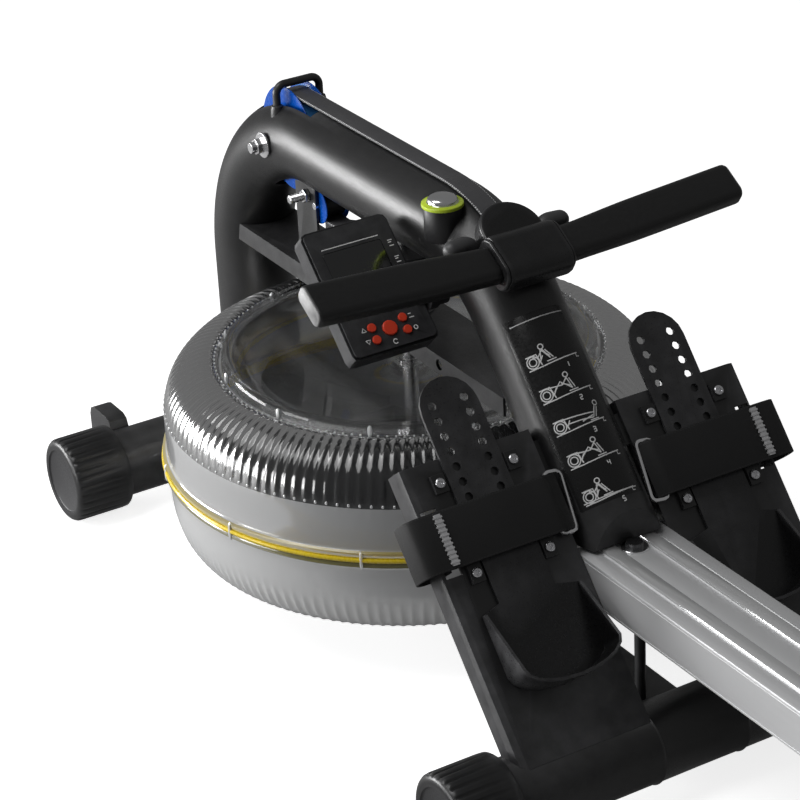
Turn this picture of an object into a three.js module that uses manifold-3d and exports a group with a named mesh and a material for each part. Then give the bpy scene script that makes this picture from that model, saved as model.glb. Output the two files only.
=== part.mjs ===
// Water rowing machine: tank and impeller at the front, rail and rolling seat at the rear.
// Millimetres, +Z up, +Y towards the tank end, +X to the rower's right.
// The sizes below are measured from the tank's axis at the height of its flange.
import * as THREE from "three";
import { mergeVertices } from "three/addons/utils/BufferGeometryUtils.js";
import Module from "manifold-3d";

const wasm = await Module();
wasm.setup();
const { Manifold, Mesh } = wasm;

// ---- Frame of the whole machine
const TANK_Y = 587.5;
const FLANGE_HEIGHT = 158;
const GAP = 0.3;
const WELD = 0.001;
const OVERSHOOT = 5;
const HALF = 0.5;
const ROUND_SIDES = 20;
const SMALL_SIDES = 12;
const ROD_SIDES = 8;
const WHEEL_SIDES = 36;
const TANK_SIDES = 36;
const QUARTER_STEPS = 2;

// ---- Main tube
const TUBE_R = 45;
const TUBE_WALL = 3;
const UPRIGHT_Y = 337;
const TUBE_TOP_Z = 279.6;
const FRONT_BEND_R = 179;
const ELBOW_Y = -166.2;
const ELBOW_R = 150;
const DOWN_SLOPE = THREE.MathUtils.degToRad(49);
const DOWN_RUN = 320;
const TUBE_SIDES = 24;
const INNER_SIDES = 12;
const BEND_STEP = THREE.MathUtils.degToRad(9);
const TUBE_REAR_Y = -393;
const END_PLATE = 4;
const SLOT_HALF = 20;
const SLOT_PLAY = 4.5;
const LUG_FROM = 12;
const LUG_TO = 44;
const LUG_DEEP = 22;
const LUG_X = 172;

// ---- Pulleys and belt
const PULLEY_Y = 208;
const PULLEY_Z = 275.5;
const PULLEY_FLANGE_R = 57.5;
const PULLEY_RIM_R = 49.5;
const PULLEY_FLANGE = 2.4;
const PULLEY_PLAY = 0.4;
const AXLE_R = 6;
const AXLE_PLAY = 0.4;
const BOLT_HEAD_R = 9;
const BOLT_HEAD = 8;
const WASHER_R = 14;
const WASHER = 2.5;
const BOLT_OUT = 62;
const IDLER_Y = 155;
const IDLER_Z = 215;
const IDLER_FLANGE_R = 20;
const IDLER_RIM_R = 14;
const IDLER_FLANGE = 1.5;
const PIN_R = 4;
const STUD_R = 4;
const STUD_OUT = 22;
const STUD_Y = 168;
const STUD_Z = 224;
const STUD_NUT_R = 7;
const STUD_NUT = 6;
const CHEEK_FROM = 151;
const CHEEK_TO = 194;
const CHEEK_PLAY = 1.3;
const CHEEK = 3;
const CHEEK_BASE = 4;
const BELT_WIDE = 24;
const BELT_THICK = 2.4;
const BELT_LIFT = 1.5;
const BELT_END_ANGLE = THREE.MathUtils.degToRad(25);
const BELT_STEP = THREE.MathUtils.degToRad(9);
const BELT_CLEAR = 2.8;
const BELT_TWIST_STEPS = 6;
const BELT_STRAIGHT = 24;
const GUARD_R = 4;
const GUARD_HALF = 26;
const GUARD_CLEAR = 1;
const GUARD_BEND = 10;
const GUARD_FOOT_R = 7;
const GUARD_FOOT = 5;

// ---- Upper beam, lower beam, crossbars
const BEAM_HALF = 35;
const BEAM_TOP = 150;
const BEAM_DEEP = 20;
const BEAM_WALL = 3;
const BEAM_REAR = -235;
const BEAM_HOLE_R = 13;
const BEAM_SIDE_HOLE_R = 6;
const BEAM_SIDE_HOLE_Y = -118;
const FLOOR = -FLANGE_HEIGHT;
const BAR_R = 38;
const BAR_Z = -110;
const FRONT_BAR_Y = 323;
const REAR_BAR_Y = -479;
const CAP_R = 48;
const CAP_X = 271;
const CAP_LONG = 66;
const CAP_END = 12;
const CAP_ROUND = 7;
const CAP_RECESS_R = 35;
const CAP_RECESS = 1.6;
const LOWER_HALF = 46;
const LOWER_TOP = -120;
const LOWER_BOTTOM = -146;
const STRUT_R = 5.5;
const STRUT_Y = -409;

// ---- Transport wheels
const ARM_IN = 174;
const ARM_OUT = 196;
const ARM_REAR = 345;
const ARM_FRONT = 400;
const ARM_TOP = -66;
const ARM_BOTTOM = -134;
const ARM_ROUND = 12;
const WHEEL_R = 22;
const WHEEL_Y = 388;
const WHEEL_Z = -126;
const WHEEL_WIDE = 18;
const WHEEL_PIN_R = 5;
const WHEEL_PLAY = 0.4;
const WHEEL_HEAD_R = 9;
const WHEEL_HEAD = 3;

// ---- Tank
const TANK_WALL = 4;
const FLANGE_R = 265;
const FLANGE_IN = 252;
const FLANGE_LIP = 8.5;
const FLANGE_STEP = 2;
const GASKET_PROUD = 1.5;
const GASKET_WIDE = 16.5;
const GASKET_HALF = 2.6;
const BOWL_R = 260.5;
const CREST = 107;
const SEAM_R = 196.5;
const SHOULDER_SHARES = [
  [1, 0.49], [0.99, 0.63], [0.967, 0.77], [0.925, 0.885], [0.87, 0.965], [0.81, 1], [0.779, 0.986], [0.766, 0.944],
];
const BOWL_DEEP = 98;
const FOOT_RING_R = 140;
const FOOT_RING_SLANT = 10;
const TANK_DEEP = 119.2;
const BOWL_SHARES = [
  [0.852, 0.985], [0.914, 0.923], [0.956, 0.806], [0.983, 0.633], [0.996, 0.408],
];
const LID_TOP = 114;
const LID_SHARES = [
  [0.056, 0.737], [0.056, 0.776], [0.765, 0.776], [0.877, 0.851], [0.948, 0.987], [0.968, 1],
  [0.994, 0.982], [1, 0.89], [0.968, 0.89], [0.887, 0.811], [0.772, 0.737],
];
const LID_R = 196.2;

// ---- Shaft, impeller and drum
const SHAFT_R = 8;
const SHAFT_BOTTOM = -108;
const SHAFT_TOP = 226;
const BORE_PLAY = 0.3;
const LOWER_CUP_R = 26;
const LOWER_CUP_TOP = -92;
const IMPELLER_Z = -58;
const IMPELLER_HALF = 26;
const IMPELLER_HUB_R = 24;
const IMPELLER_R = 158;
const BLADES = 6;
const BLADE_THICK = 5;
const BLADE_HALF = 24;
const UPPER_CUP_R = 30;
const UPPER_CUP_TOP = 166;
const DRUM_LOW = 186;
const DRUM_HIGH = 222;
const DRUM_FLANGE_R = 45;
const DRUM_R = 36;
const DRUM_FLANGE = 3.5;
const DRUM_WRAP = THREE.MathUtils.degToRad(150);

// ---- Rail and its supports
const RAIL_HALF = 49;
const RAIL_TOP = 50.8;
const RAIL_BOTTOM = 5.8;
const RAIL_WALL = 3;
const TRACK_TOP = 53.8;
const TRACK_IN = 15;
const TRACK_OUT = 30;
const TRACK_SLANT = 2;
const RAIL_EDGE = 2;
const RAIL_FRONT = -372;
const RAIL_REAR = -1573;
const RAIL_BOLT_Y = -397;
const RAIL_BOLT_R = 9;
const RAIL_BOLT = 5;
const END_CAP = 12;
const END_PLUG = 20;
const END_OVER = 2;
const LEG_Y = -1520;
const LEG_HALF_X = 40;
const LEG_HALF_Y = 22;
const LEG_FOOT_X = 205;
const LEG_FOOT_HALF = 30;
const LEG_FOOT_TOP = -112;
const LEG_FOOT_LOW = -140;
const PAD_LONG = 70;
const PAD_SIDE = 5;

// ---- Foot rests, laid out on their slope: x, distance down the slope, height above the plate
const SLOPE = THREE.MathUtils.degToRad(49.1);
const SLOPE_Y = -301;
const SLOPE_Z = 149;
const PLATE_IN = 49.5;
const PLATE_OUT = 194;
const PLATE_THICK = 3;
const PLATE_ROUND = 10;
const FLANGE_OUT_DEEP = 24;
const FLANGE_IN_DEEP = 20;
const STRAP_SLOT_IN = 172;
const STRAP_SLOT_OUT = 188;
const SCREW_UP = 23.1;
const SCREW_DOWN = 112.4;
const SCREW_IN = 78.9;
const SCREW_OUT = 159.7;
const SCREW_R = 5;
const CLIP_HALF = 7;
const CLIP_LONG = 9;
const CLIP_HIGH = 3.9;
const CLIP_LIP = 0.8;
const BED_X = 119;
const BED_HALF = 31;
const BED_THICK = 3;
const BED_STEPS = 10;
const BED_FROM = -73;
const BED_WIDEN = 146;
const BED_TO = 152;
const HEEL_HALF = 54;
const HEEL_IN = 3;
const HEEL_SIDE = 213;
const HEEL_REACH = 23;
const HEEL_HIGH = 36;
const HEEL_WALL = 3;
const HOLE_FIRST = -48;
const HOLE_PITCH = 15.2;
const HOLE_X = 17.6;
const HOLE_R = 4.4;
const HOLES = 7;
const STRAP_FROM = 48;
const STRAP_TO = 104;
const STRAP_THICK = 2.4;
const STRAP_LINE = [
  [179, -6], [181, -20], [187, -30], [199, -31], [211, -17], [211, 3], [202, 11], [176, 12.5],
  [150, 13], [120, 13.5], [90, 12], [76, 10.5], [66.9, 8.5],
];
const RING_IN = 43.5;
const RING_OUT = 61.5;
const RING_FROM = 46;
const RING_TO = 106;
const RING_HIGH = 8.5;
const RING_WIRE = 2;
const RING_BEND = 5;
const RING_TURN = THREE.MathUtils.degToRad(7);

// ---- Console
const CONSOLE_SLOPE = THREE.MathUtils.degToRad(45);
const CONSOLE_Y = -60;
const CONSOLE_Z = 292;
const CONSOLE_LEFT = -152;
const CONSOLE_RIGHT = -55;
const CONSOLE_LONG = 139;
const CONSOLE_THICK = 22;
const CONSOLE_ROUND = 7;
const CONSOLE_EDGE = 2.5;
const SCREEN_LEFT = -138;
const SCREEN_RIGHT = -72;
const SCREEN_FROM = 26;
const SCREEN_TO = 72;
const SCREEN_DEEP = 2;
const SCREEN_THICK = 1.6;
const BUTTONS = [
  ["button_centre", -103, 116.5, 8],
  ["button_upper_left", -121.5, 111.5, 4.6],
  ["button_lower_left", -121.5, 124.5, 4.6],
  ["button_upper_right", -86, 110, 4.6],
  ["button_lower_right", -86, 123, 4.6],
];
const BUTTON_PLAY = 0.35;
const BUTTON_PROUD = 2;
const BUTTON_DEEP = 6;
const BUTTON_POCKET = 8;
const BUTTON_SIDES = 12;
const ARM_AXIS_Y = -130;
const ARM_AXIS_Z = 224;
const ARM_BOSS_R = 11;
const ARM_BOSS_X = -32;
const KNOB_R = 13;
const KNOB_WIDE = 10;
const KNOB_PIN_R = 4;

// ---- Handle and hooks
const HANDLE_Y = -232;
const HANDLE_Z = 290;
const HUB_HALF = 39;
const HUB_WIDE = 56;
const HUB_THICK = 34;
const HUB_ROUND = 14;
const HUB_RIM = 3;
const HUB_STEPS = 3;
const HUB_RIM_SHARE = 0.92;
const TONGUE_R = 33;
const TONGUE_REACH = 64;
const TONGUE_TOP = 5;
const TONGUE_LOW = -14;
const TONGUE_STEPS = 12;
const GRIP_LONG = 239;
const GRIP_NEAR_WIDE = 34;
const GRIP_WIDE = 46;
const GRIP_THICK = 20;
const GRIP_RISE = 14;
const GRIP_BACK = 2;
const GRIP_KNEE = 95;
const GRIP_KNEE_RISE = 1.5;
const GRIP_ROUND = 8;
const GRIP_TILT = THREE.MathUtils.degToRad(32);
const GRIP_TIP = 3;
const GRIP_TIP_SHARE = 0.88;
const HOOK_X = 53;
const HOOK_R = 9.5;
const HOOK_ROOT = [22, -196, 236];
const HOOK_TURN = [HOOK_X, -211, 264];
const HOOK_TIP = [HOOK_X, -191, 305];
const HOOK_BEND = 16;
const HOOK_STEP = THREE.MathUtils.degToRad(22);
const HOOK_ROUND_SHARES = [[0.5, 0.87], [0.87, 0.5], [0.97, 0.2]];
const PLUG_X = -33.7;
const PLUG_Y = -136;
const PLUG_FOOT = 285;
const PLUG_BOSS_R = 19;
const PLUG_BOSS_TOP = 318;
const PLUG_RING_R = 21;
const PLUG_RING_TOP = 322.5;
const PLUG_DOME_R = 15;
const PLUG_DOME_TOP = 329.5;

// ---- Seat
const SEAT_Y = -985;
const SEAT_HALF_X = 150;
const SEAT_HALF_Y = 118;
const SEAT_HIGH = 152;
const SEAT_SIDES = 36;
const SEAT_SQUARE_SHARE = 3.2;
const SEAT_HOLLOW = 9;
const SEAT_HOLLOW_SHARE = 0.42;
const SEAT_HOLLOW_WIDE_SHARE = 0.34;
const SEAT_NOTCH_SHARE = 0.16;
const SEAT_RING_SHARES = [
  [0.0, 0.0], [0.88, 0.0], [0.97, 0.08], [1.0, 0.3], [0.99, 0.58], [0.95, 0.78], [0.87, 0.91],
  [0.74, 0.98], [0.58, 1.0], [0.4, 1.0], [0.2, 1.0], [0.0, 1.0],
];
const CARRIAGE_HALF_X = 60;
const CARRIAGE_HALF_Y = 92;
const CARRIAGE_TOP = 104;
const CARRIAGE_WALL = 4;
const CARRIAGE_LOW = 1.2;
const CARRIAGE_LIP = 42;
const CARRIAGE_RISER = 92;
const ROLLER_R = 17;
const ROLLER_Y = 66;
const ROLLER_WIDE = 13;
const ROLLER_X = 22.5;
const ROLLER_GAP = 0.15;
const ROLLER_AXLE_R = 4;
const ROLLER_HUB_R = 8;

const V = (x, y, z) => new THREE.Vector3(x, y, z);
const X = V(1, 0, 0);
const Y = V(0, 1, 0);
const Z = V(0, 0, 1);

// ---- Solids

// A closed geometry as a solid, turned right side out, without its flat triangles.
function solid(positions, indices) {
  const geometry = new THREE.BufferGeometry();
  geometry.setAttribute("position", new THREE.Float32BufferAttribute(positions, 3));
  geometry.setIndex(indices);
  const welded = mergeVertices(geometry, WELD);
  const index = welded.index.array;
  const kept = [];
  for (let i = 0; i < index.length; i += 3) {
    const [a, b, c] = [index[i], index[i + 1], index[i + 2]];
    if (a !== b && b !== c && c !== a) kept.push(a, b, c);
  }
  const make = (triangles) =>
    new Manifold(new Mesh({
      numProp: 3,
      vertProperties: welded.attributes.position.array,
      triVerts: new Uint32Array(triangles),
    }));
  const body = make(kept);
  return body.volume() < 0 ? make(kept.reverse()) : body;
}

// One section carried through a row of frames; each frame has a place and two axes.
function loft(outline, frames, loop = false) {
  const contour = outline.map(([a, b]) => new THREE.Vector2(a, b));
  if (THREE.ShapeUtils.isClockWise(contour)) contour.reverse();
  const positions = [];
  for (const { at, u, v } of frames)
    for (const point of contour)
      positions.push(...at.clone().addScaledVector(u, point.x).addScaledVector(v, point.y).toArray());
  const n = contour.length;
  const indices = [];
  const rows = loop ? frames.length : frames.length - 1;
  for (let i = 0; i < rows; i++)
    for (let j = 0; j < n; j++) {
      const [p, q] = [i * n, ((i + 1) % frames.length) * n];
      const k = (j + 1) % n;
      indices.push(p + j, p + k, q + k, p + j, q + k, q + j);
    }
  if (!loop) {
    const last = (frames.length - 1) * n;
    for (const [a, b, c] of THREE.ShapeUtils.triangulateShape(contour, []))
      indices.push(a, c, b, last + a, last + b, last + c);
  }
  return solid(positions, indices);
}

// Frames along a path, kept as level as possible with the given side direction.
function frames(path, side, loop = false) {
  let across = side.clone();
  return path.map((at, i) => {
    const next = loop ? path[(i + 1) % path.length] : path[Math.min(i + 1, path.length - 1)];
    const before = loop ? path[(i + path.length - 1) % path.length] : path[Math.max(i - 1, 0)];
    const ahead = next.clone().sub(at).normalize();
    const behind = at.clone().sub(before).normalize();
    const tangent = ahead.add(behind).normalize();
    across = across.clone().addScaledVector(tangent, -across.dot(tangent)).normalize();
    return { at, u: across, v: tangent.clone().cross(across) };
  });
}

// A path with its corners rounded.
function rounded(corners, radius, step) {
  const path = [corners[0]];
  for (let i = 1; i < corners.length - 1; i++) {
    const back = corners[i - 1].clone().sub(corners[i]).normalize();
    const on = corners[i + 1].clone().sub(corners[i]).normalize();
    const turn = Math.PI - back.angleTo(on);
    const centre = back.clone().add(on).normalize()
      .multiplyScalar(radius / Math.cos(turn * HALF)).add(corners[i]);
    const start = back.clone().multiplyScalar(radius * Math.tan(turn * HALF)).add(corners[i]).sub(centre);
    const axis = back.clone().cross(start).normalize();
    const steps = Math.max(1, Math.round(turn / step));
    for (let k = 0; k <= steps; k++)
      path.push(start.clone().applyAxisAngle(axis, (turn * k) / steps).add(centre));
  }
  path.push(corners[corners.length - 1]);
  return path;
}

const circle = (r, sides = ROUND_SIDES) =>
  Array.from({ length: sides }, (_, i) => {
    const angle = (2 * Math.PI * i) / sides;
    return [r * Math.cos(angle), r * Math.sin(angle)];
  });

// A rectangle with rounded corners, centred.
function softRect(wide, high, round, steps = QUARTER_STEPS) {
  const points = [];
  const [a, b] = [wide * HALF - round, high * HALF - round];
  [[a, b], [-a, b], [-a, -b], [a, -b]].forEach(([x, y], corner) => {
    for (let k = 0; k <= steps; k++) {
      const angle = (Math.PI / 2) * (corner + k / steps);
      points.push([x + round * Math.cos(angle), y + round * Math.sin(angle)]);
    }
  });
  return points;
}

// A bent sheet's outline: a line and the same line moved sideways by its thickness.
function sheet(line, thick) {
  const moved = line.map(([x, y], i) => {
    const a = line[Math.max(i - 1, 0)];
    const b = line[Math.min(i + 1, line.length - 1)];
    const n1 = normal(a, [x, y]) ?? normal([x, y], b);
    const n2 = normal([x, y], b) ?? n1;
    const k = thick / (1 + n1[0] * n2[0] + n1[1] * n2[1]);
    return [x + (n1[0] + n2[0]) * k, y + (n1[1] + n2[1]) * k];
  });
  return [...line, ...moved.reverse()];
}

function normal([ax, ay], [bx, by]) {
  const long = Math.hypot(bx - ax, by - ay);
  return long ? [(by - ay) / long, (ax - bx) / long] : null;
}

function rod(r, from, to, sides = ROUND_SIDES) {
  const side = Math.abs(to.clone().sub(from).normalize().dot(Z)) > HALF ? X : Z;
  return loft(circle(r, sides), frames([from, to], side));
}

function box(x0, x1, y0, y1, z0, z1) {
  const section = [[x0, y0], [x1, y0], [x1, y1], [x0, y1]];
  return loft(section, [{ at: V(0, 0, z0), u: X, v: Y }, { at: V(0, 0, z1), u: X, v: Y }]);
}

// A profile of radius and height turned about an axis; it starts and ends on the axis or closes.
function turned(profile, at = V(0, 0, 0), axis = Z, sides = ROUND_SIDES) {
  const onAxis = profile[0][0] === 0;
  const u = axis === X ? Y : X;
  const v = axis.clone().cross(u);
  const n = profile.length;
  const positions = [];
  for (let i = 0; i < sides; i++) {
    const out = u.clone().applyAxisAngle(axis, (2 * Math.PI * i) / sides);
    for (const [r, h] of profile)
      positions.push(...at.clone().addScaledVector(out, r).addScaledVector(axis, h).toArray());
  }
  const indices = [];
  for (let i = 0; i < sides; i++)
    for (let j = 0; j < (onAxis ? n - 1 : n); j++) {
      const [p, q] = [i * n, ((i + 1) % sides) * n];
      const k = (j + 1) % n;
      indices.push(p + j, p + k, q + k, p + j, q + k, q + j);
    }
  return solid(positions, indices);
}

const join = (bodies) => bodies.reduce((a, b) => a.add(b));
const cut = (body, ...tools) => tools.reduce((a, b) => a.subtract(b), body);

// ---- The named meshes
const machine = new THREE.Group();
machine.position.set(0, TANK_Y, FLANGE_HEIGHT);

function put(name, body, colour, roughness, metalness = 0) {
  const made = body.getMesh();
  const geometry = new THREE.BufferGeometry();
  geometry.setAttribute("position", new THREE.BufferAttribute(made.vertProperties.slice(), 3));
  geometry.setIndex(new THREE.BufferAttribute(made.triVerts.slice(), 1));
  geometry.computeVertexNormals();
  const mesh = new THREE.Mesh(geometry, new THREE.MeshStandardMaterial({ color: colour, roughness, metalness }));
  mesh.name = name;
  machine.add(mesh);
}

const BLACK = 0x1c1d1f;
const GREY = 0x3a3b3d;
const BLUE = 0x1558d8;
const STEEL = 0xc9cbce;
const CLEAR = 0xd7dade;
const PALE = 0xb9bcc0;
const YELLOW = 0xe3cf22;
const RED = 0xe0452f;
const ALUMINIUM = 0xc4c6c9;
const LIME = 0xb6d420;

// ---- Main tube: one bent tube with a slot for the pulley, lugs for the foot rests and a closed rear end
const downTo = (run) => V(0, ELBOW_Y - run * Math.cos(DOWN_SLOPE), TUBE_TOP_Z - run * Math.sin(DOWN_SLOPE));
const slopeAt = (x, s, h) => V(
  x,
  SLOPE_Y - s * Math.cos(SLOPE) - h * Math.sin(SLOPE),
  SLOPE_Z - s * Math.sin(SLOPE) + h * Math.cos(SLOPE),
);
const SLOPE_DOWN = V(0, -Math.cos(SLOPE), -Math.sin(SLOPE));
const SLOPE_OUT = V(0, -Math.sin(SLOPE), Math.cos(SLOPE));

function tubeBody(r, front, sides = TUBE_SIDES) {
  const first = rounded([V(0, UPRIGHT_Y, front), V(0, UPRIGHT_Y, TUBE_TOP_Z), V(0, 0, TUBE_TOP_Z)],
    FRONT_BEND_R, BEND_STEP);
  const second = rounded([V(0, 0, TUBE_TOP_Z), V(0, ELBOW_Y, TUBE_TOP_Z), downTo(DOWN_RUN)],
    ELBOW_R, BEND_STEP);
  first.pop();
  second.shift();
  return loft(circle(r, sides), frames([...first, ...second], X));
}

const railTopCut = (top) =>
  box(-RAIL_HALF * 2, RAIL_HALF * 2, TUBE_REAR_Y * 2, UPRIGHT_Y - TUBE_R * 2, FLOOR * 2, top);

function mainTube() {
  const rear = (y) => box(-TUBE_R * 2, TUBE_R * 2, TUBE_REAR_Y * 2, y, FLOOR, TUBE_TOP_Z);
  const bar = rod(BAR_R + GAP, V(-TUBE_R * 2, FRONT_BAR_Y, BAR_Z), V(TUBE_R * 2, FRONT_BAR_Y, BAR_Z));
  const outer = cut(tubeBody(TUBE_R, BAR_Z), railTopCut(TRACK_TOP + GAP), rear(TUBE_REAR_Y));
  const inner = cut(
    tubeBody(TUBE_R - TUBE_WALL, BAR_Z, INNER_SIDES),
    railTopCut(TRACK_TOP + GAP + END_PLATE),
    rear(TUBE_REAR_Y + END_PLATE),
  );
  const reach = PULLEY_FLANGE_R + SLOT_PLAY;
  const slot = box(-SLOT_HALF, SLOT_HALF, PULLEY_Y - reach, PULLEY_Y + reach, PULLEY_Z - reach, PULLEY_Z + reach);
  const lugs = [-1, 1].map((side) => {
    const top = -PLATE_THICK - GAP;
    const section = [[side * LUG_X, top - LUG_DEEP], [side * LUG_X, top],
      [side * TUBE_R * HALF, top], [side * TUBE_R * HALF, top - LUG_DEEP]];
    return loft(section, [LUG_FROM, LUG_TO].map((s) => ({ at: slopeAt(0, s, 0), u: X, v: SLOPE_OUT })));
  });
  const bolt = rod(AXLE_R + GAP, V(-TUBE_R * 2, PULLEY_Y, PULLEY_Z), V(TUBE_R * 2, PULLEY_Y, PULLEY_Z));
  return cut(join([outer, ...lugs]), inner, slot, bolt, bar);
}
put("main_tube", mainTube(), GREY, 0.45);
const tubeNear = (gap) => tubeBody(TUBE_R + gap, BAR_Z);
const bendFrom = UPRIGHT_Y - FRONT_BEND_R;
const tubeMid = (y) => TUBE_TOP_Z - FRONT_BEND_R + Math.sqrt(FRONT_BEND_R ** 2 - Math.max(0, y - bendFrom) ** 2);

// ---- Crossbars, caps, lower beam with the strut, transport wheels
for (const [name, y] of [["front", FRONT_BAR_Y], ["rear", REAR_BAR_Y]]) {
  const end = CAP_X - CAP_END - GAP;
  put(`${name}_crossbar`, rod(BAR_R, V(-end, y, BAR_Z), V(end, y, BAR_Z)), GREY, 0.45);
  for (const [where, side] of [["left", -1], ["right", 1]]) {
    const body = turned([
      [0, CAP_X - CAP_RECESS], [CAP_RECESS_R, CAP_X - CAP_RECESS], [CAP_RECESS_R + CAP_RECESS, CAP_X],
      [CAP_R - CAP_ROUND, CAP_X], [CAP_R - CAP_RECESS, CAP_X - CAP_RECESS], [CAP_R, CAP_X - CAP_ROUND],
      [CAP_R, CAP_X - CAP_LONG + CAP_ROUND], [CAP_R - CAP_RECESS, CAP_X - CAP_LONG],
      [BAR_R + GAP, CAP_X - CAP_LONG], [BAR_R + GAP, CAP_X - CAP_END], [0, CAP_X - CAP_END],
    ].map(([r, h]) => [r, h * side]), V(0, y, BAR_Z), X);
    put(`cap_${name}_${where}`, body, BLACK, 0.55);
  }
}

function barNear(y) {
  return rod(BAR_R + GAP, V(-CAP_X, y, BAR_Z), V(CAP_X, y, BAR_Z));
}
put("lower_beam", cut(
  join([
    box(-LOWER_HALF, LOWER_HALF, REAR_BAR_Y, FRONT_BAR_Y, LOWER_BOTTOM, LOWER_TOP),
    rod(STRUT_R, V(0, STRUT_Y, LOWER_TOP - OVERSHOOT), V(0, STRUT_Y, RAIL_BOTTOM - GAP), SMALL_SIDES),
  ]),
  barNear(REAR_BAR_Y), barNear(FRONT_BAR_Y),
), GREY, 0.45);

function wheelArm(side) {
  const section = softRect(ARM_FRONT - ARM_REAR, ARM_TOP - ARM_BOTTOM, ARM_ROUND);
  const centre = (x) => V(x * side, (ARM_FRONT + ARM_REAR) * HALF, (ARM_TOP + ARM_BOTTOM) * HALF);
  const arm = loft(section, [ARM_IN, ARM_OUT].map((x) => ({ at: centre(x), u: Y, v: Z })));
  const wheelIn = ARM_IN - GAP - WHEEL_WIDE - GAP;
  const pin = rod(WHEEL_PIN_R, V(side * (ARM_IN + OVERSHOOT), WHEEL_Y, WHEEL_Z),
    V(side * wheelIn, WHEEL_Y, WHEEL_Z), SMALL_SIDES);
  const head = rod(WHEEL_HEAD_R, V(side * wheelIn, WHEEL_Y, WHEEL_Z),
    V(side * (wheelIn - WHEEL_HEAD), WHEEL_Y, WHEEL_Z), SMALL_SIDES);
  return cut(join([arm, pin, head]), barNear(FRONT_BAR_Y));
}
for (const [where, side] of [["left", -1], ["right", 1]]) {
  put(`wheel_arm_${where}`, wheelArm(side), GREY, 0.45);
  const outer = ARM_IN - GAP;
  const inner = outer - WHEEL_WIDE;
  const profile = [
    [WHEEL_PIN_R + WHEEL_PLAY, inner], [WHEEL_R - CAP_RECESS, inner], [WHEEL_R, inner + CAP_RECESS],
    [WHEEL_R, outer - CAP_RECESS], [WHEEL_R - CAP_RECESS, outer], [WHEEL_PIN_R + WHEEL_PLAY, outer],
  ].map(([r, h]) => [r, h * side]);
  put(`transport_wheel_${where}`, turned(profile, V(0, WHEEL_Y, WHEEL_Z), X), BLACK, 0.6);
}

// ---- Upper beam: a channel between the upright and the down tube, with openings for belt and shaft
function upperBeam() {
  const front = UPRIGHT_Y - TUBE_R * HALF;
  const outer = box(-BEAM_HALF, BEAM_HALF, BEAM_REAR, front, BEAM_TOP - BEAM_DEEP, BEAM_TOP);
  const inner = box(-BEAM_HALF + BEAM_WALL, BEAM_HALF - BEAM_WALL, BEAM_REAR - OVERSHOOT, front + OVERSHOOT,
    BEAM_TOP - BEAM_DEEP - OVERSHOOT, BEAM_TOP - BEAM_WALL);
  const shaft = rod(BEAM_HOLE_R, V(0, 0, BEAM_TOP - BEAM_DEEP), V(0, 0, BEAM_TOP + OVERSHOOT));
  const side = rod(BEAM_SIDE_HOLE_R, V(-BEAM_HALF - OVERSHOOT, BEAM_SIDE_HOLE_Y, BEAM_TOP - BEAM_DEEP * HALF),
    V(0, BEAM_SIDE_HOLE_Y, BEAM_TOP - BEAM_DEEP * HALF), SMALL_SIDES);
  return cut(outer, inner, shaft, side, tubeNear(GAP));
}
put("upper_beam", upperBeam(), GREY, 0.45);

// ---- Top pulley, its bolt, the belt guard
const PULLEY_HALF = BELT_WIDE * HALF + PULLEY_PLAY + PULLEY_FLANGE;
put("top_pulley", turned([
  [AXLE_R + AXLE_PLAY, -PULLEY_HALF], [PULLEY_FLANGE_R, -PULLEY_HALF],
  [PULLEY_FLANGE_R, PULLEY_FLANGE - PULLEY_HALF], [PULLEY_RIM_R, PULLEY_FLANGE - PULLEY_HALF],
  [PULLEY_RIM_R, PULLEY_HALF - PULLEY_FLANGE], [PULLEY_FLANGE_R, PULLEY_HALF - PULLEY_FLANGE],
  [PULLEY_FLANGE_R, PULLEY_HALF], [AXLE_R + AXLE_PLAY, PULLEY_HALF],
], V(0, PULLEY_Y, PULLEY_Z), X, WHEEL_SIDES), BLUE, 0.3);

function bolt(r, y, z, headR, head, washerR, washer, face, out) {
  const at = (x) => V(x, y, z);
  return join([
    rod(r, at(-out), at(face + washer + head), SMALL_SIDES),
    ...(washer ? [rod(washerR, at(-face), at(-face - washer)), rod(washerR, at(face), at(face + washer))] : []),
    rod(headR, at(-face - washer), at(-face - washer - head), 6),
    rod(headR, at(face + washer), at(face + washer + head), 6),
  ]);
}
put("pulley_bolt", bolt(AXLE_R, PULLEY_Y, PULLEY_Z, BOLT_HEAD_R, BOLT_HEAD, WASHER_R, WASHER,
  TUBE_R + GAP, BOLT_OUT), STEEL, 0.25, 0.9);

function beltGuard() {
  const foot = tubeMid(PULLEY_Y);
  const top = PULLEY_Z + PULLEY_FLANGE_R + GUARD_CLEAR + GUARD_R;
  const path = rounded([V(-GUARD_HALF, PULLEY_Y, foot), V(-GUARD_HALF, PULLEY_Y, top),
    V(GUARD_HALF, PULLEY_Y, top), V(GUARD_HALF, PULLEY_Y, foot)], GUARD_BEND, HOOK_STEP);
  const high = foot + Math.sqrt(TUBE_R ** 2 - GUARD_HALF ** 2) + GUARD_FOOT;
  const feet = [-1, 1].map((side) => rod(GUARD_FOOT_R, V(side * GUARD_HALF, PULLEY_Y, foot),
    V(side * GUARD_HALF, PULLEY_Y, high), SMALL_SIDES));
  return cut(join([loft(circle(GUARD_R, ROD_SIDES), frames(path, Y)), ...feet]), tubeNear(GAP));
}
put("belt_guard", beltGuard(), GREY, 0.4);

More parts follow.
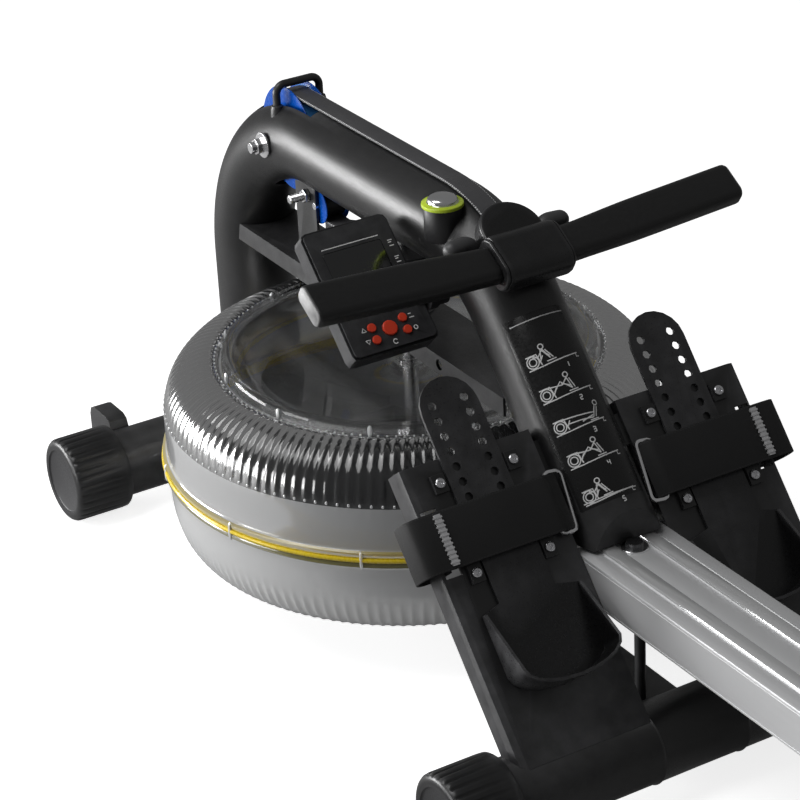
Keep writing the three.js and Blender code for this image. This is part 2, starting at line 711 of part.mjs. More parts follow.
// ---- Idler pulley on a pin between two cheeks on the beam, a stud with its nut on each cheek
const IDLER_HALF = BELT_WIDE * HALF + PULLEY_PLAY + IDLER_FLANGE;
const CHEEK_IN = IDLER_HALF + CHEEK_PLAY;
const CHEEK_OUT = CHEEK_IN + CHEEK;
function idlerBracket() {
  const high = TUBE_TOP_Z - Math.sqrt(TUBE_R ** 2 - CHEEK_OUT ** 2) - GAP;
  const cheeks = [-1, 1].flatMap((side) => {
    const [a, b] = [side * CHEEK_IN, side * CHEEK_OUT];
    const at = (x) => V(side * x, STUD_Y, STUD_Z);
    return [
      box(Math.min(a, b), Math.max(a, b), CHEEK_FROM, CHEEK_TO, BEAM_TOP + GAP, high),
      rod(STUD_R, at(CHEEK_IN + CHEEK * HALF), at(CHEEK_OUT + STUD_OUT), SMALL_SIDES),
      rod(STUD_NUT_R, at(CHEEK_IN + CHEEK * HALF), at(CHEEK_OUT + STUD_NUT), 6),
    ];
  });
  const base = box(-CHEEK_OUT, CHEEK_OUT, CHEEK_FROM, CHEEK_TO, BEAM_TOP + GAP, BEAM_TOP + GAP + CHEEK_BASE);
  const hole = rod(PIN_R + GAP, V(-CHEEK_OUT * 2, IDLER_Y, IDLER_Z), V(CHEEK_OUT * 2, IDLER_Y, IDLER_Z), SMALL_SIDES);
  return cut(join([...cheeks, base]), hole, tubeNear(GAP));
}
put("idler_bracket", idlerBracket(), GREY, 0.45);
put("idler_pulley", turned([
  [PIN_R + AXLE_PLAY, -IDLER_HALF], [IDLER_FLANGE_R, -IDLER_HALF], [IDLER_FLANGE_R, IDLER_FLANGE - IDLER_HALF],
  [IDLER_RIM_R, IDLER_FLANGE - IDLER_HALF], [IDLER_RIM_R, IDLER_HALF - IDLER_FLANGE],
  [IDLER_FLANGE_R, IDLER_HALF - IDLER_FLANGE], [IDLER_FLANGE_R, IDLER_HALF], [PIN_R + AXLE_PLAY, IDLER_HALF],
], V(0, IDLER_Y, IDLER_Z), X), BLUE, 0.3);
put("idler_pin", rod(PIN_R, V(-CHEEK_OUT, IDLER_Y, IDLER_Z), V(CHEEK_OUT, IDLER_Y, IDLER_Z), SMALL_SIDES),
  STEEL, 0.25, 0.9);

// ---- Belt: over the elbow and the pulley, under the idler, with a quarter twist onto the drum
const BELT_SECTION = [
  [-BELT_WIDE * HALF, -BELT_THICK * HALF], [BELT_WIDE * HALF, -BELT_THICK * HALF],
  [BELT_WIDE * HALF, BELT_THICK * HALF], [-BELT_WIDE * HALF, BELT_THICK * HALF],
];

function beltFrames() {
  const list = [];
  const add = (at, tangent, across) => list.push({ at, u: across, v: tangent.clone().cross(across) });
  const round = (y, z, r, from, to) => {
    const steps = Math.ceil((to - from) / BELT_STEP);
    for (let k = 0; k <= steps; k++) {
      const a = from + ((to - from) * k) / steps;
      add(V(0, y + r * Math.sin(a), z + r * Math.cos(a)), V(0, Math.cos(a), -Math.sin(a)), X);
    }
  };
  const elbowY = ELBOW_Y + ELBOW_R * Math.tan(DOWN_SLOPE * HALF);
  round(elbowY, TUBE_TOP_Z - ELBOW_R, ELBOW_R + TUBE_R + BELT_LIFT + BELT_THICK * HALF, -BELT_END_ANGLE, 0);
  const rim = PULLEY_RIM_R + BELT_THICK * HALF + GAP;
  const roll = IDLER_RIM_R + BELT_THICK * HALF + GAP;
  const [dy, dz] = [PULLEY_Y - IDLER_Y, PULLEY_Z - IDLER_Z];
  const leave = Math.atan2(dy, dz) + Math.acos((roll - rim) / Math.hypot(dy, dz));
  round(PULLEY_Y, PULLEY_Z, rim, 0, leave);
  round(IDLER_Y, IDLER_Z, roll, leave, Math.PI);
  const level = (DRUM_LOW + DRUM_HIGH) * HALF;
  const wrap = DRUM_R + BELT_THICK * HALF + GAP;
  const start = V(0, IDLER_Y - BELT_STRAIGHT, IDLER_Z - roll);
  const touch = Math.asin(wrap / start.y);
  const end = V(wrap * Math.cos(touch), wrap * Math.sin(touch), level);
  const onto = end.clone().sub(start).normalize();
  for (let k = 0; k < BELT_TWIST_STEPS; k++) {
    const share = k / BELT_TWIST_STEPS;
    const tangent = Y.clone().negate().lerp(onto, share).normalize();
    add(start.clone().lerp(end, share), tangent, X.clone().applyAxisAngle(tangent, (Math.PI / 2) * share));
  }
  const steps = Math.ceil((DRUM_WRAP + touch) / BELT_STEP);
  for (let k = 0; k <= steps; k++) {
    const a = touch - ((DRUM_WRAP + touch) * k) / steps;
    add(V(wrap * Math.cos(a), wrap * Math.sin(a), level), V(Math.sin(a), -Math.cos(a), 0), Z.clone().negate());
  }
  return list;
}
put("belt", loft(BELT_SECTION, beltFrames()), BLACK, 0.5);

// ---- Tank: two bowls with a gasket between their flanges, and a lid
const flangeFace = GASKET_HALF + GAP;
function bowl(line, side) {
  const skin = sheet([...line, [BOWL_R, side * (FLANGE_LIP + FLANGE_STEP)]], TANK_WALL * side);
  const near = line.length + 1;
  return [
    ...skin.slice(0, near), [FLANGE_R, side * FLANGE_LIP], [FLANGE_R, side * flangeFace],
    [FLANGE_IN, side * flangeFace], [FLANGE_IN, side * FLANGE_LIP], ...skin.slice(near),
  ];
}
const shoulder = SHOULDER_SHARES.map(([r, z]) => [r * BOWL_R, z * CREST]).reverse();
const upperLine = bowl([[SEAM_R, shoulder[0][1]], ...shoulder], 1);
const lowerLine = bowl([
  [0, -TANK_DEEP], [FOOT_RING_R, -TANK_DEEP], [FOOT_RING_R + FOOT_RING_SLANT, -BOWL_DEEP],
  ...BOWL_SHARES.map(([r, z]) => [r * BOWL_R, -z * BOWL_DEEP]),
], -1);
put("tank_upper", turned(upperLine, V(0, 0, 0), Z, TANK_SIDES), CLEAR, 0.15);
put("tank_lower", turned(lowerLine, V(0, 0, 0), Z, TANK_SIDES), PALE, 0.25);
const gasketOut = FLANGE_R + GASKET_PROUD;
const gasketIn = gasketOut - GASKET_WIDE;
put("tank_gasket", turned([
  [gasketIn, -GASKET_HALF], [gasketOut, -GASKET_HALF], [gasketOut, GASKET_HALF], [gasketIn, GASKET_HALF],
], V(0, 0, 0), Z, TANK_SIDES), YELLOW, 0.4);
put("tank_lid", turned(LID_SHARES.map(([r, z]) => [r * LID_R, z * LID_TOP]), V(0, 0, 0), Z, TANK_SIDES), CLEAR, 0.1);

// ---- Shaft, bearings, impeller, drum
put("drive_shaft", rod(SHAFT_R, V(0, 0, SHAFT_BOTTOM), V(0, 0, SHAFT_TOP), ROUND_SIDES), STEEL, 0.2, 0.9);
const cupBase = TANK_WALL + GAP - TANK_DEEP;
put("bearing_lower", turned([
  [0, cupBase], [LOWER_CUP_R, cupBase], [LOWER_CUP_R, LOWER_CUP_TOP],
  [SHAFT_R + BORE_PLAY, LOWER_CUP_TOP], [SHAFT_R + BORE_PLAY, SHAFT_BOTTOM - GAP], [0, SHAFT_BOTTOM - GAP],
]), BLACK, 0.5);
put("bearing_upper", turned([
  [SHAFT_R + BORE_PLAY, BEAM_TOP + GAP], [UPPER_CUP_R, BEAM_TOP + GAP], [UPPER_CUP_R, UPPER_CUP_TOP - BEAM_WALL],
  [UPPER_CUP_R * HALF, UPPER_CUP_TOP], [SHAFT_R + BORE_PLAY, UPPER_CUP_TOP],
]), STEEL, 0.35, 0.8);

function impeller() {
  const hub = turned([
    [SHAFT_R + BORE_PLAY, -IMPELLER_HALF], [IMPELLER_HUB_R, -IMPELLER_HALF],
    [IMPELLER_HUB_R, IMPELLER_HALF], [SHAFT_R + BORE_PLAY, IMPELLER_HALF],
  ], V(0, 0, IMPELLER_Z));
  const blades = Array.from({ length: BLADES }, (_, i) => {
    const angle = (2 * Math.PI * i) / BLADES;
    const out = V(Math.cos(angle), Math.sin(angle), 0);
    const side = V(-Math.sin(angle), Math.cos(angle), 0);
    const section = [[-BLADE_THICK * HALF, -BLADE_HALF], [BLADE_THICK * HALF, -BLADE_HALF],
      [BLADE_THICK * HALF, BLADE_HALF], [-BLADE_THICK * HALF, BLADE_HALF]];
    return loft(section, [SHAFT_R * 2, IMPELLER_R].map((r) => ({
      at: out.clone().multiplyScalar(r).add(V(0, 0, IMPELLER_Z)), u: side, v: Z,
    })));
  });
  return join([hub, ...blades]);
}
put("impeller", impeller(), GREY, 0.5);
put("drive_drum", turned([
  [SHAFT_R + BORE_PLAY, DRUM_LOW], [DRUM_FLANGE_R, DRUM_LOW], [DRUM_FLANGE_R, DRUM_LOW + DRUM_FLANGE],
  [DRUM_R, DRUM_LOW + DRUM_FLANGE], [DRUM_R, DRUM_HIGH - DRUM_FLANGE],
  [DRUM_FLANGE_R, DRUM_HIGH - DRUM_FLANGE], [DRUM_FLANGE_R, DRUM_HIGH], [SHAFT_R + BORE_PLAY, DRUM_HIGH],
]), BLACK, 0.5);

// ---- Rail with two raised tracks, its end cap, the rear leg and feet
function rail() {
  const half = [
    [RAIL_HALF - RAIL_EDGE, RAIL_TOP], [TRACK_OUT, RAIL_TOP], [TRACK_OUT - TRACK_SLANT, TRACK_TOP],
    [TRACK_IN + TRACK_SLANT, TRACK_TOP], [TRACK_IN, RAIL_TOP],
  ];
  const edge = [[RAIL_HALF, RAIL_BOTTOM], [RAIL_HALF, RAIL_TOP - RAIL_EDGE]];
  const left = (points) => points.map(([x, z]) => [-x, z]).reverse();
  const section = [...edge, ...half, ...left(half), ...left(edge)];
  const inside = RAIL_HALF - RAIL_WALL;
  const ends = (a, b) => [a, b].map((y) => ({ at: V(0, y, 0), u: X, v: Z }));
  const hollow = [[-inside, RAIL_BOTTOM + RAIL_WALL], [inside, RAIL_BOTTOM + RAIL_WALL],
    [inside, RAIL_TOP - RAIL_WALL], [-inside, RAIL_TOP - RAIL_WALL]];
  const body = cut(loft(section, ends(RAIL_REAR, RAIL_FRONT)),
    loft(hollow, ends(RAIL_REAR - OVERSHOOT, RAIL_FRONT + OVERSHOOT)));
  const head = rod(RAIL_BOLT_R, V(0, RAIL_BOLT_Y - OVERSHOOT, RAIL_TOP - GAP),
    V(0, RAIL_BOLT_Y - OVERSHOOT, RAIL_TOP + RAIL_BOLT), 6);
  return join([body, head]);
}
put("rail", rail(), ALUMINIUM, 0.35, 0.7);

const inPlug = RAIL_HALF - RAIL_WALL - GAP;
put("rail_end_cap", join([
  box(-RAIL_HALF - END_OVER, RAIL_HALF + END_OVER, RAIL_REAR - END_CAP, RAIL_REAR - GAP,
    RAIL_BOTTOM - END_OVER, TRACK_TOP + END_OVER * 2),
  box(-inPlug, inPlug, RAIL_REAR - OVERSHOOT, RAIL_REAR + END_PLUG,
    RAIL_BOTTOM + RAIL_WALL + GAP, RAIL_TOP - RAIL_WALL - GAP),
]), BLACK, 0.55);

put("rear_leg", join([
  box(-LEG_HALF_X, LEG_HALF_X, LEG_Y - LEG_HALF_Y, LEG_Y + LEG_HALF_Y, LEG_FOOT_LOW, RAIL_BOTTOM - GAP),
  box(-LEG_FOOT_X, LEG_FOOT_X, LEG_Y - LEG_FOOT_HALF, LEG_Y + LEG_FOOT_HALF, LEG_FOOT_LOW, LEG_FOOT_TOP),
]), GREY, 0.45);
for (const [where, side] of [["left", -1], ["right", 1]]) {
  const ends = [LEG_FOOT_X - PAD_LONG, LEG_FOOT_X + PAD_SIDE].map((x) => x * side).sort((a, b) => a - b);
  const foot = box(...ends, LEG_Y - LEG_FOOT_HALF - PAD_SIDE, LEG_Y + LEG_FOOT_HALF + PAD_SIDE,
    FLOOR, LEG_FOOT_TOP - PAD_SIDE);
  const hollow = box(-LEG_FOOT_X - GAP, LEG_FOOT_X + GAP, LEG_Y - LEG_FOOT_HALF - GAP,
    LEG_Y + LEG_FOOT_HALF + GAP, LEG_FOOT_LOW - GAP, 0);
  put(`rear_foot_${where}`, cut(foot, hollow), BLACK, 0.7);
}

// ---- Foot rests: bent plates, sliding footbeds with heel cups, straps with wire rings
const onSlope = (from, to) => [from, to].map((s) => ({ at: slopeAt(0, s, 0), u: X, v: SLOPE_OUT }));
const throughSlope = (from, to) => [from, to].map((h) => ({ at: slopeAt(0, 0, h), u: X, v: SLOPE_DOWN }));
const slopeBox = (side, x0, x1, s0, s1, h0, h1) =>
  loft([[side * x0, h0], [side * x1, h0], [side * x1, h1], [side * x0, h1]], onSlope(s0, s1));
const slopeRod = (r, x, s, h0, h1, sides = SMALL_SIDES) => rod(r, slopeAt(x, s, h0), slopeAt(x, s, h1), sides);

// The plate runs down to the rear crossbar, whose axis lies at this place on the slope.
const barDown = (SLOPE_Y - REAR_BAR_Y) * Math.cos(SLOPE) + (SLOPE_Z - BAR_Z) * Math.sin(SLOPE);
const barHigh = (SLOPE_Y - REAR_BAR_Y) * Math.sin(SLOPE) - (SLOPE_Z - BAR_Z) * Math.cos(SLOPE);
const plateEnd = barDown - Math.sqrt(Math.max(0, (BAR_R + GAP) ** 2 - barHigh ** 2));

function footPlate(side) {
  const bendAt = Array.from({ length: QUARTER_STEPS + 1 }, (_, k) => {
    const angle = (Math.PI / 2) * (k / QUARTER_STEPS);
    return [PLATE_OUT - PLATE_ROUND + PLATE_ROUND * Math.sin(angle), PLATE_ROUND * (Math.cos(angle) - 1)];
  });
  const line = [[PLATE_IN, -FLANGE_IN_DEEP], [PLATE_IN, 0], ...bendAt, [PLATE_OUT, -FLANGE_OUT_DEEP]];
  const body = loft(sheet(line, PLATE_THICK).map(([x, h]) => [side * x, h]), onSlope(0, plateEnd));
  const clips = [SCREW_UP, SCREW_DOWN].flatMap((s) => [[SCREW_IN, 1], [SCREW_OUT, -1]].flatMap(([x, way]) => [
    slopeBox(side, x - CLIP_HALF, x + CLIP_HALF, s - CLIP_LONG, s + CLIP_LONG, -PLATE_THICK * HALF, CLIP_HIGH),
    slopeRod(SCREW_R, side * x, s, 0, CLIP_HIGH + CLIP_LIP),
  ]));
  const slot = slopeBox(side, STRAP_SLOT_IN, STRAP_SLOT_OUT, STRAP_FROM - OVERSHOOT, STRAP_TO + OVERSHOOT,
    -PLATE_ROUND, PLATE_ROUND);
  const lug = slopeBox(side, 0, LUG_X + GAP, LUG_FROM - GAP, LUG_TO + GAP, -PLATE_THICK - LUG_DEEP - GAP * 2, -PLATE_THICK);
  return cut(join([body, ...clips]), slot, lug, barNear(REAR_BAR_Y), tubeNear(GAP));
}

function footbed(side) {
  const arc = (half, reach, from, steps) => Array.from({ length: steps + 1 }, (_, k) => {
    const angle = (Math.PI * k) / steps;
    return [half * Math.cos(angle), from + reach * Math.sin(angle)];
  });
  const top = arc(BED_HALF, -BED_HALF, BED_FROM + BED_HALF, BED_STEPS);
  const inward = (points) => points.map(([x, s]) => [x - HEEL_IN, s]);
  const heel = arc(HEEL_HALF, HEEL_REACH, HEEL_SIDE, BED_STEPS).reverse();
  const outline = [...top, [-BED_HALF, BED_WIDEN], ...inward([[-HEEL_HALF, BED_TO], ...heel, [HEEL_HALF, BED_TO]]),
    [BED_HALF, BED_WIDEN]].map(([x, s]) => [side * (BED_X + x), s]);
  const low = GAP;
  const base = loft(outline, throughSlope(low, low + BED_THICK));
  const inner = arc(HEEL_HALF - HEEL_WALL, HEEL_REACH - HEEL_WALL, HEEL_SIDE, BED_STEPS).reverse();
  const wallLine = inward([[-HEEL_HALF, BED_TO], ...heel, [HEEL_HALF, BED_TO],
    [HEEL_HALF - HEEL_WALL, BED_TO], ...inner.slice().reverse(), [HEEL_WALL - HEEL_HALF, BED_TO]]);
  const wall = loft(wallLine.map(([x, s]) => [side * (BED_X + x), s]), throughSlope(low, HEEL_HIGH));
  const reach = HEEL_SIDE + HEEL_REACH + OVERSHOOT;
  const slant = [[BED_TO - OVERSHOOT, low + BED_THICK], [HEEL_SIDE, HEEL_HIGH], [reach, HEEL_HIGH],
    [reach, HEEL_HIGH * 2], [BED_TO - OVERSHOOT, HEEL_HIGH * 2]];
  const away = loft(slant, [-1, 1].map((way) => ({
    at: slopeAt(side * BED_X + way * HEEL_HALF * 2, 0, 0), u: SLOPE_DOWN, v: SLOPE_OUT,
  })));
  const holes = Array.from({ length: HOLES }, (_, k) => HOLE_FIRST + k * HOLE_PITCH).flatMap((s) =>
    [-1, 1].map((way) => slopeRod(HOLE_R, side * (BED_X + way * HOLE_X), s, -OVERSHOOT, OVERSHOOT * 2, ROD_SIDES)));
  return cut(join([base, cut(wall, away)]), ...holes);
}

function strap(side) {
  const section = sheet(STRAP_LINE, STRAP_THICK).map(([x, h]) => [side * x, h]);
  return loft(section, onSlope(STRAP_FROM, STRAP_TO));
}

function strapRing(side) {
  const [midX, midS] = [(RING_IN + RING_OUT) * HALF, (RING_FROM + RING_TO) * HALF];
  const corner = (x, s) => {
    const [across, down] = [side * (x - midX), s - midS];
    const [cos, sin] = [Math.cos(RING_TURN), Math.sin(RING_TURN)];
    return slopeAt(side * midX + across * cos - down * sin, midS + across * sin + down * cos, RING_HIGH);
  };
  const middle = corner(midX, RING_FROM);
  const path = rounded([middle, corner(RING_OUT, RING_FROM), corner(RING_OUT, RING_TO),
    corner(RING_IN, RING_TO), corner(RING_IN, RING_FROM), middle], RING_BEND, BELT_STEP * 4);
  path.pop();
  return loft(circle(RING_WIRE, ROD_SIDES), frames(path, SLOPE_OUT, true), true);
}

for (const [where, side] of [["left", -1], ["right", 1]]) {
  put(`foot_plate_${where}`, footPlate(side), BLACK, 0.5);
  put(`footbed_${where}`, footbed(side), BLACK, 0.55);
  put(`strap_${where}`, strap(side), BLACK, 0.8);
  put(`strap_ring_${where}`, strapRing(side), STEEL, 0.3, 0.9);
}

// ---- Console on its arm
const consoleAt = (x, s, h) => V(
  x,
  CONSOLE_Y - s * Math.cos(CONSOLE_SLOPE) - h * Math.sin(CONSOLE_SLOPE),
  CONSOLE_Z - s * Math.sin(CONSOLE_SLOPE) + h * Math.cos(CONSOLE_SLOPE),
);
const CONSOLE_DOWN = V(0, -Math.cos(CONSOLE_SLOPE), -Math.sin(CONSOLE_SLOPE));
const consoleX = (CONSOLE_LEFT + CONSOLE_RIGHT) * HALF;
const consolePlane = (x, s) => (h) => ({ at: consoleAt(x, s, h), u: X, v: CONSOLE_DOWN });

function consoleBody() {
  const wide = CONSOLE_RIGHT - CONSOLE_LEFT;
  const at = consolePlane(consoleX, CONSOLE_LONG * HALF);
  const full = softRect(wide, CONSOLE_LONG, CONSOLE_ROUND);
  const small = softRect(wide - CONSOLE_EDGE * 2, CONSOLE_LONG - CONSOLE_EDGE * 2, CONSOLE_ROUND - CONSOLE_EDGE);
  const slab = join([
    loft(full, [-CONSOLE_THICK, -CONSOLE_EDGE].map(at)),
    loft(small, [-CONSOLE_EDGE * 2, 0].map(at)),
  ]);
  const mid = (SCREEN_FROM + SCREEN_TO) * HALF;
  const screen = loft(softRect(SCREEN_RIGHT - SCREEN_LEFT, SCREEN_TO - SCREEN_FROM, CONSOLE_EDGE),
    [-SCREEN_DEEP, OVERSHOOT].map(consolePlane((SCREEN_LEFT + SCREEN_RIGHT) * HALF, mid)));
  const pockets = BUTTONS.map(([, x, s, r]) =>
    rod(r + BUTTON_PLAY, consoleAt(x, s, -BUTTON_POCKET), consoleAt(x, s, OVERSHOOT), BUTTON_SIDES));
  const knobHole = rod(KNOB_PIN_R + GAP, V(CONSOLE_RIGHT - KNOB_WIDE, ARM_AXIS_Y, ARM_AXIS_Z),
    V(0, ARM_AXIS_Y, ARM_AXIS_Z), SMALL_SIDES);
  return cut(slab, screen, knobHole, ...pockets);
}
put("console_body", consoleBody(), BLACK, 0.45);

const screenMid = (SCREEN_FROM + SCREEN_TO) * HALF;
put("console_screen", loft(
  softRect(SCREEN_RIGHT - SCREEN_LEFT - GAP * 2, SCREEN_TO - SCREEN_FROM - GAP * 2, CONSOLE_EDGE - GAP),
  [-SCREEN_DEEP + GAP, -SCREEN_DEEP + GAP + SCREEN_THICK].map(
    consolePlane((SCREEN_LEFT + SCREEN_RIGHT) * HALF, screenMid)),
), 0x2b3033, 0.15);
for (const [name, x, s, r] of BUTTONS)
  put(name, rod(r, consoleAt(x, s, BUTTON_PROUD - BUTTON_DEEP), consoleAt(x, s, BUTTON_PROUD), BUTTON_SIDES),
    RED, 0.45);

function consoleArm() {
  const at = (x) => V(x, ARM_AXIS_Y, ARM_AXIS_Z);
  const knob = rod(KNOB_R, at(CONSOLE_RIGHT + GAP), at(CONSOLE_RIGHT + GAP + KNOB_WIDE), SMALL_SIDES);
  const pin = rod(KNOB_PIN_R, at(CONSOLE_RIGHT - KNOB_WIDE + GAP), at(CONSOLE_RIGHT + KNOB_WIDE), SMALL_SIDES);
  const boss = rod(ARM_BOSS_R, at(CONSOLE_RIGHT + KNOB_WIDE * HALF), at(ARM_BOSS_X), SMALL_SIDES);
  const lift = rod(ARM_BOSS_R, V(ARM_BOSS_X, ARM_AXIS_Y, ARM_AXIS_Z), V(ARM_BOSS_X * HALF, ARM_AXIS_Y, TUBE_TOP_Z),
    SMALL_SIDES);
  return cut(join([knob, pin, boss, lift]), tubeNear(GAP));
}
put("console_arm", consoleArm(), BLACK, 0.5);

// ---- Handle: hub with a flat round top and a saddle below, two grips
const gripAcross = V(0, -Math.cos(GRIP_TILT), -Math.sin(GRIP_TILT));
const gripUp = V(0, -Math.sin(GRIP_TILT), Math.cos(GRIP_TILT));
function handleHub() {
  const section = softRect(HUB_WIDE, HUB_THICK, HUB_ROUND, HUB_STEPS);
  const ends = [[-HUB_HALF, HUB_RIM_SHARE], [HUB_RIM - HUB_HALF, 1], [HUB_HALF - HUB_RIM, 1], [HUB_HALF, HUB_RIM_SHARE]];
  const sleeve = loft(section, ends.map(([x, share]) => ({
    at: V(x, HANDLE_Y, HANDLE_Z), u: gripAcross.clone().multiplyScalar(share), v: gripUp.clone().multiplyScalar(share),
  })));
  const arch = Array.from({ length: TONGUE_STEPS + 1 }, (_, k) => {
    const angle = (Math.PI * k) / TONGUE_STEPS;
    return [TONGUE_R * Math.cos(angle), TONGUE_REACH - TONGUE_R + TONGUE_R * Math.sin(angle)];
  });
  const tongue = loft([[-TONGUE_R, 0], [TONGUE_R, 0], ...arch], [TONGUE_LOW, TONGUE_TOP].map((h) => ({
    at: V(0, HANDLE_Y, HANDLE_Z).addScaledVector(gripUp, h), u: X, v: gripAcross.clone().negate(),
  })));
  return cut(join([sleeve, tongue]), tubeNear(BELT_LIFT + BELT_THICK + BELT_CLEAR));
}
put("handle_hub", handleHub(), BLACK, 0.45);

function grip(side) {
  const near = GRIP_NEAR_WIDE / GRIP_WIDE;
  const path = [
    [HUB_HALF + GAP, 0, 0, near], [GRIP_KNEE, 0, GRIP_KNEE_RISE, (near + 1) * HALF],
    [GRIP_LONG - GRIP_TIP, -GRIP_BACK, GRIP_RISE, 1], [GRIP_LONG, -GRIP_BACK, GRIP_RISE, 1],
  ];
  const section = softRect(GRIP_WIDE, GRIP_THICK, GRIP_ROUND, HUB_STEPS);
  const list = path.map(([x, y, z, wide]) => ({
    at: V(side * x, HANDLE_Y + y, HANDLE_Z + z), u: gripAcross.clone().multiplyScalar(wide), v: gripUp,
  }));
  const last = list[list.length - 1];
  last.u = last.u.clone().multiplyScalar(GRIP_TIP_SHARE);
  last.v = last.v.clone().multiplyScalar(GRIP_TIP_SHARE);
  return loft(section, list);
}
put("handle_grip_left", grip(-1), BLACK, 0.7);
put("handle_grip_right", grip(1), BLACK, 0.7);

function hook(side) {
  const at = ([x, y, z]) => V(side * x, y, z);
  const path = rounded([at(HOOK_ROOT), at(HOOK_TURN), at(HOOK_TIP)], HOOK_BEND, HOOK_STEP);
  const list = frames(path, Y);
  const last = list[list.length - 1];
  const on = last.at.clone().sub(list[list.length - 2].at).normalize();
  for (const [along, share] of HOOK_ROUND_SHARES)
    list.push({
      at: last.at.clone().addScaledVector(on, HOOK_R * along),
      u: last.u.clone().multiplyScalar(share),
      v: last.v.clone().multiplyScalar(share),
    });
  return cut(loft(circle(HOOK_R, SMALL_SIDES), list), tubeNear(GAP));
}
put("handle_hook_left", hook(-1), GREY, 0.45);
put("handle_hook_right", hook(1), GREY, 0.45);

put("elbow_plug", cut(turned([
  [0, PLUG_FOOT], [PLUG_BOSS_R, PLUG_FOOT], [PLUG_BOSS_R, PLUG_BOSS_TOP], [PLUG_RING_R, PLUG_BOSS_TOP],
  [PLUG_RING_R, PLUG_RING_TOP], [PLUG_DOME_R, PLUG_RING_TOP],
  [PLUG_DOME_R, PLUG_RING_TOP + GAP], [PLUG_DOME_R * HALF, PLUG_DOME_TOP - GAP], [0, PLUG_DOME_TOP],
], V(PLUG_X, PLUG_Y, 0)), tubeNear(GAP)), LIME, 0.4);

// ---- Seat: a contoured cushion on a carriage with two wheelsets
function cushion() {
  const low = CARRIAGE_TOP + GAP;
  const positions = [];
  for (const [out, up] of SEAT_RING_SHARES)
    for (let i = 0; i < SEAT_SIDES; i++) {
      const angle = (2 * Math.PI * i) / SEAT_SIDES;
      const [c, s] = [Math.cos(angle), Math.sin(angle)];
      const k = (Math.abs(c) ** SEAT_SQUARE_SHARE + Math.abs(s) ** SEAT_SQUARE_SHARE) ** (-1 / SEAT_SQUARE_SHARE);
      const [px, py] = [c * k * out, s * k * out];
      const wide = SEAT_HOLLOW_WIDE_SHARE;
      const well = Math.exp(-(((Math.abs(px) - SEAT_HOLLOW_SHARE) / wide) ** 2) - (py / wide) ** 2 * HALF);
      const notch = s < 0 ? 1 - SEAT_NOTCH_SHARE * Math.exp(-((px / wide) ** 2)) : 1;
      const z = low + (SEAT_HIGH - low) * up - (up > HALF ? SEAT_HOLLOW * well : 0);
      positions.push(px * SEAT_HALF_X, SEAT_Y + py * SEAT_HALF_Y * notch, z);
    }
  const indices = [];
  for (let r = 0; r < SEAT_RING_SHARES.length - 1; r++)
    for (let i = 0; i < SEAT_SIDES; i++) {
      const [p, q] = [r * SEAT_SIDES, (r + 1) * SEAT_SIDES];
      const k = (i + 1) % SEAT_SIDES;
      indices.push(p + i, p + k, q + k, p + i, q + k, q + i);
    }
  return solid(positions, indices);
}
put("seat_cushion", cushion(), BLACK, 0.6);

const rollerZ = TRACK_TOP + ROLLER_GAP + ROLLER_R;
function carriage() {
  const ends = [-CARRIAGE_HALF_Y, CARRIAGE_HALF_Y].map((y) => ({ at: V(0, SEAT_Y + y, 0), u: X, v: Z }));
  const line = [[CARRIAGE_LIP, CARRIAGE_LOW], [CARRIAGE_HALF_X, CARRIAGE_LOW], [CARRIAGE_HALF_X, CARRIAGE_RISER],
    [CARRIAGE_HALF_X - CARRIAGE_WALL, CARRIAGE_RISER + CARRIAGE_WALL]];
  const mirrored = line.map(([x, z]) => [-x, z]).reverse();
  const body = loft(sheet([...line, ...mirrored], -CARRIAGE_WALL), ends);
  const block = box(-CARRIAGE_HALF_X, CARRIAGE_HALF_X, SEAT_Y - CARRIAGE_HALF_Y, SEAT_Y + CARRIAGE_HALF_Y,
    CARRIAGE_RISER + CARRIAGE_WALL * HALF, CARRIAGE_TOP);
  const holes = [-1, 1].map((way) => rod(ROLLER_AXLE_R + AXLE_PLAY,
    V(-CARRIAGE_HALF_X * 2, SEAT_Y + way * ROLLER_Y, rollerZ), V(CARRIAGE_HALF_X * 2, SEAT_Y + way * ROLLER_Y, rollerZ),
    SMALL_SIDES));
  return cut(join([body, block]), ...holes);
}
put("seat_carriage", carriage(), GREY, 0.4);

for (const [where, way] of [["rear", -1], ["front", 1]]) {
  const at = (x) => V(x, SEAT_Y + way * ROLLER_Y, rollerZ);
  const wheels = [-1, 1].map((side) => rod(ROLLER_R, at(side * (ROLLER_X - ROLLER_WIDE * HALF)),
    at(side * (ROLLER_X + ROLLER_WIDE * HALF))));
  put(`wheelset_${where}`, join([
    rod(ROLLER_AXLE_R, at(-CARRIAGE_HALF_X), at(CARRIAGE_HALF_X), SMALL_SIDES),
    rod(ROLLER_HUB_R, at(-ROLLER_X * 2), at(ROLLER_X * 2), SMALL_SIDES),
    ...wheels,
  ]), PALE, 0.4);
}

export default machine;
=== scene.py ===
# Water rowing machine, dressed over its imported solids. Metres, +Y to the tank end, +Z up.
import math
import bmesh
import bpy
import numpy as np
from mathutils import Matrix, Vector


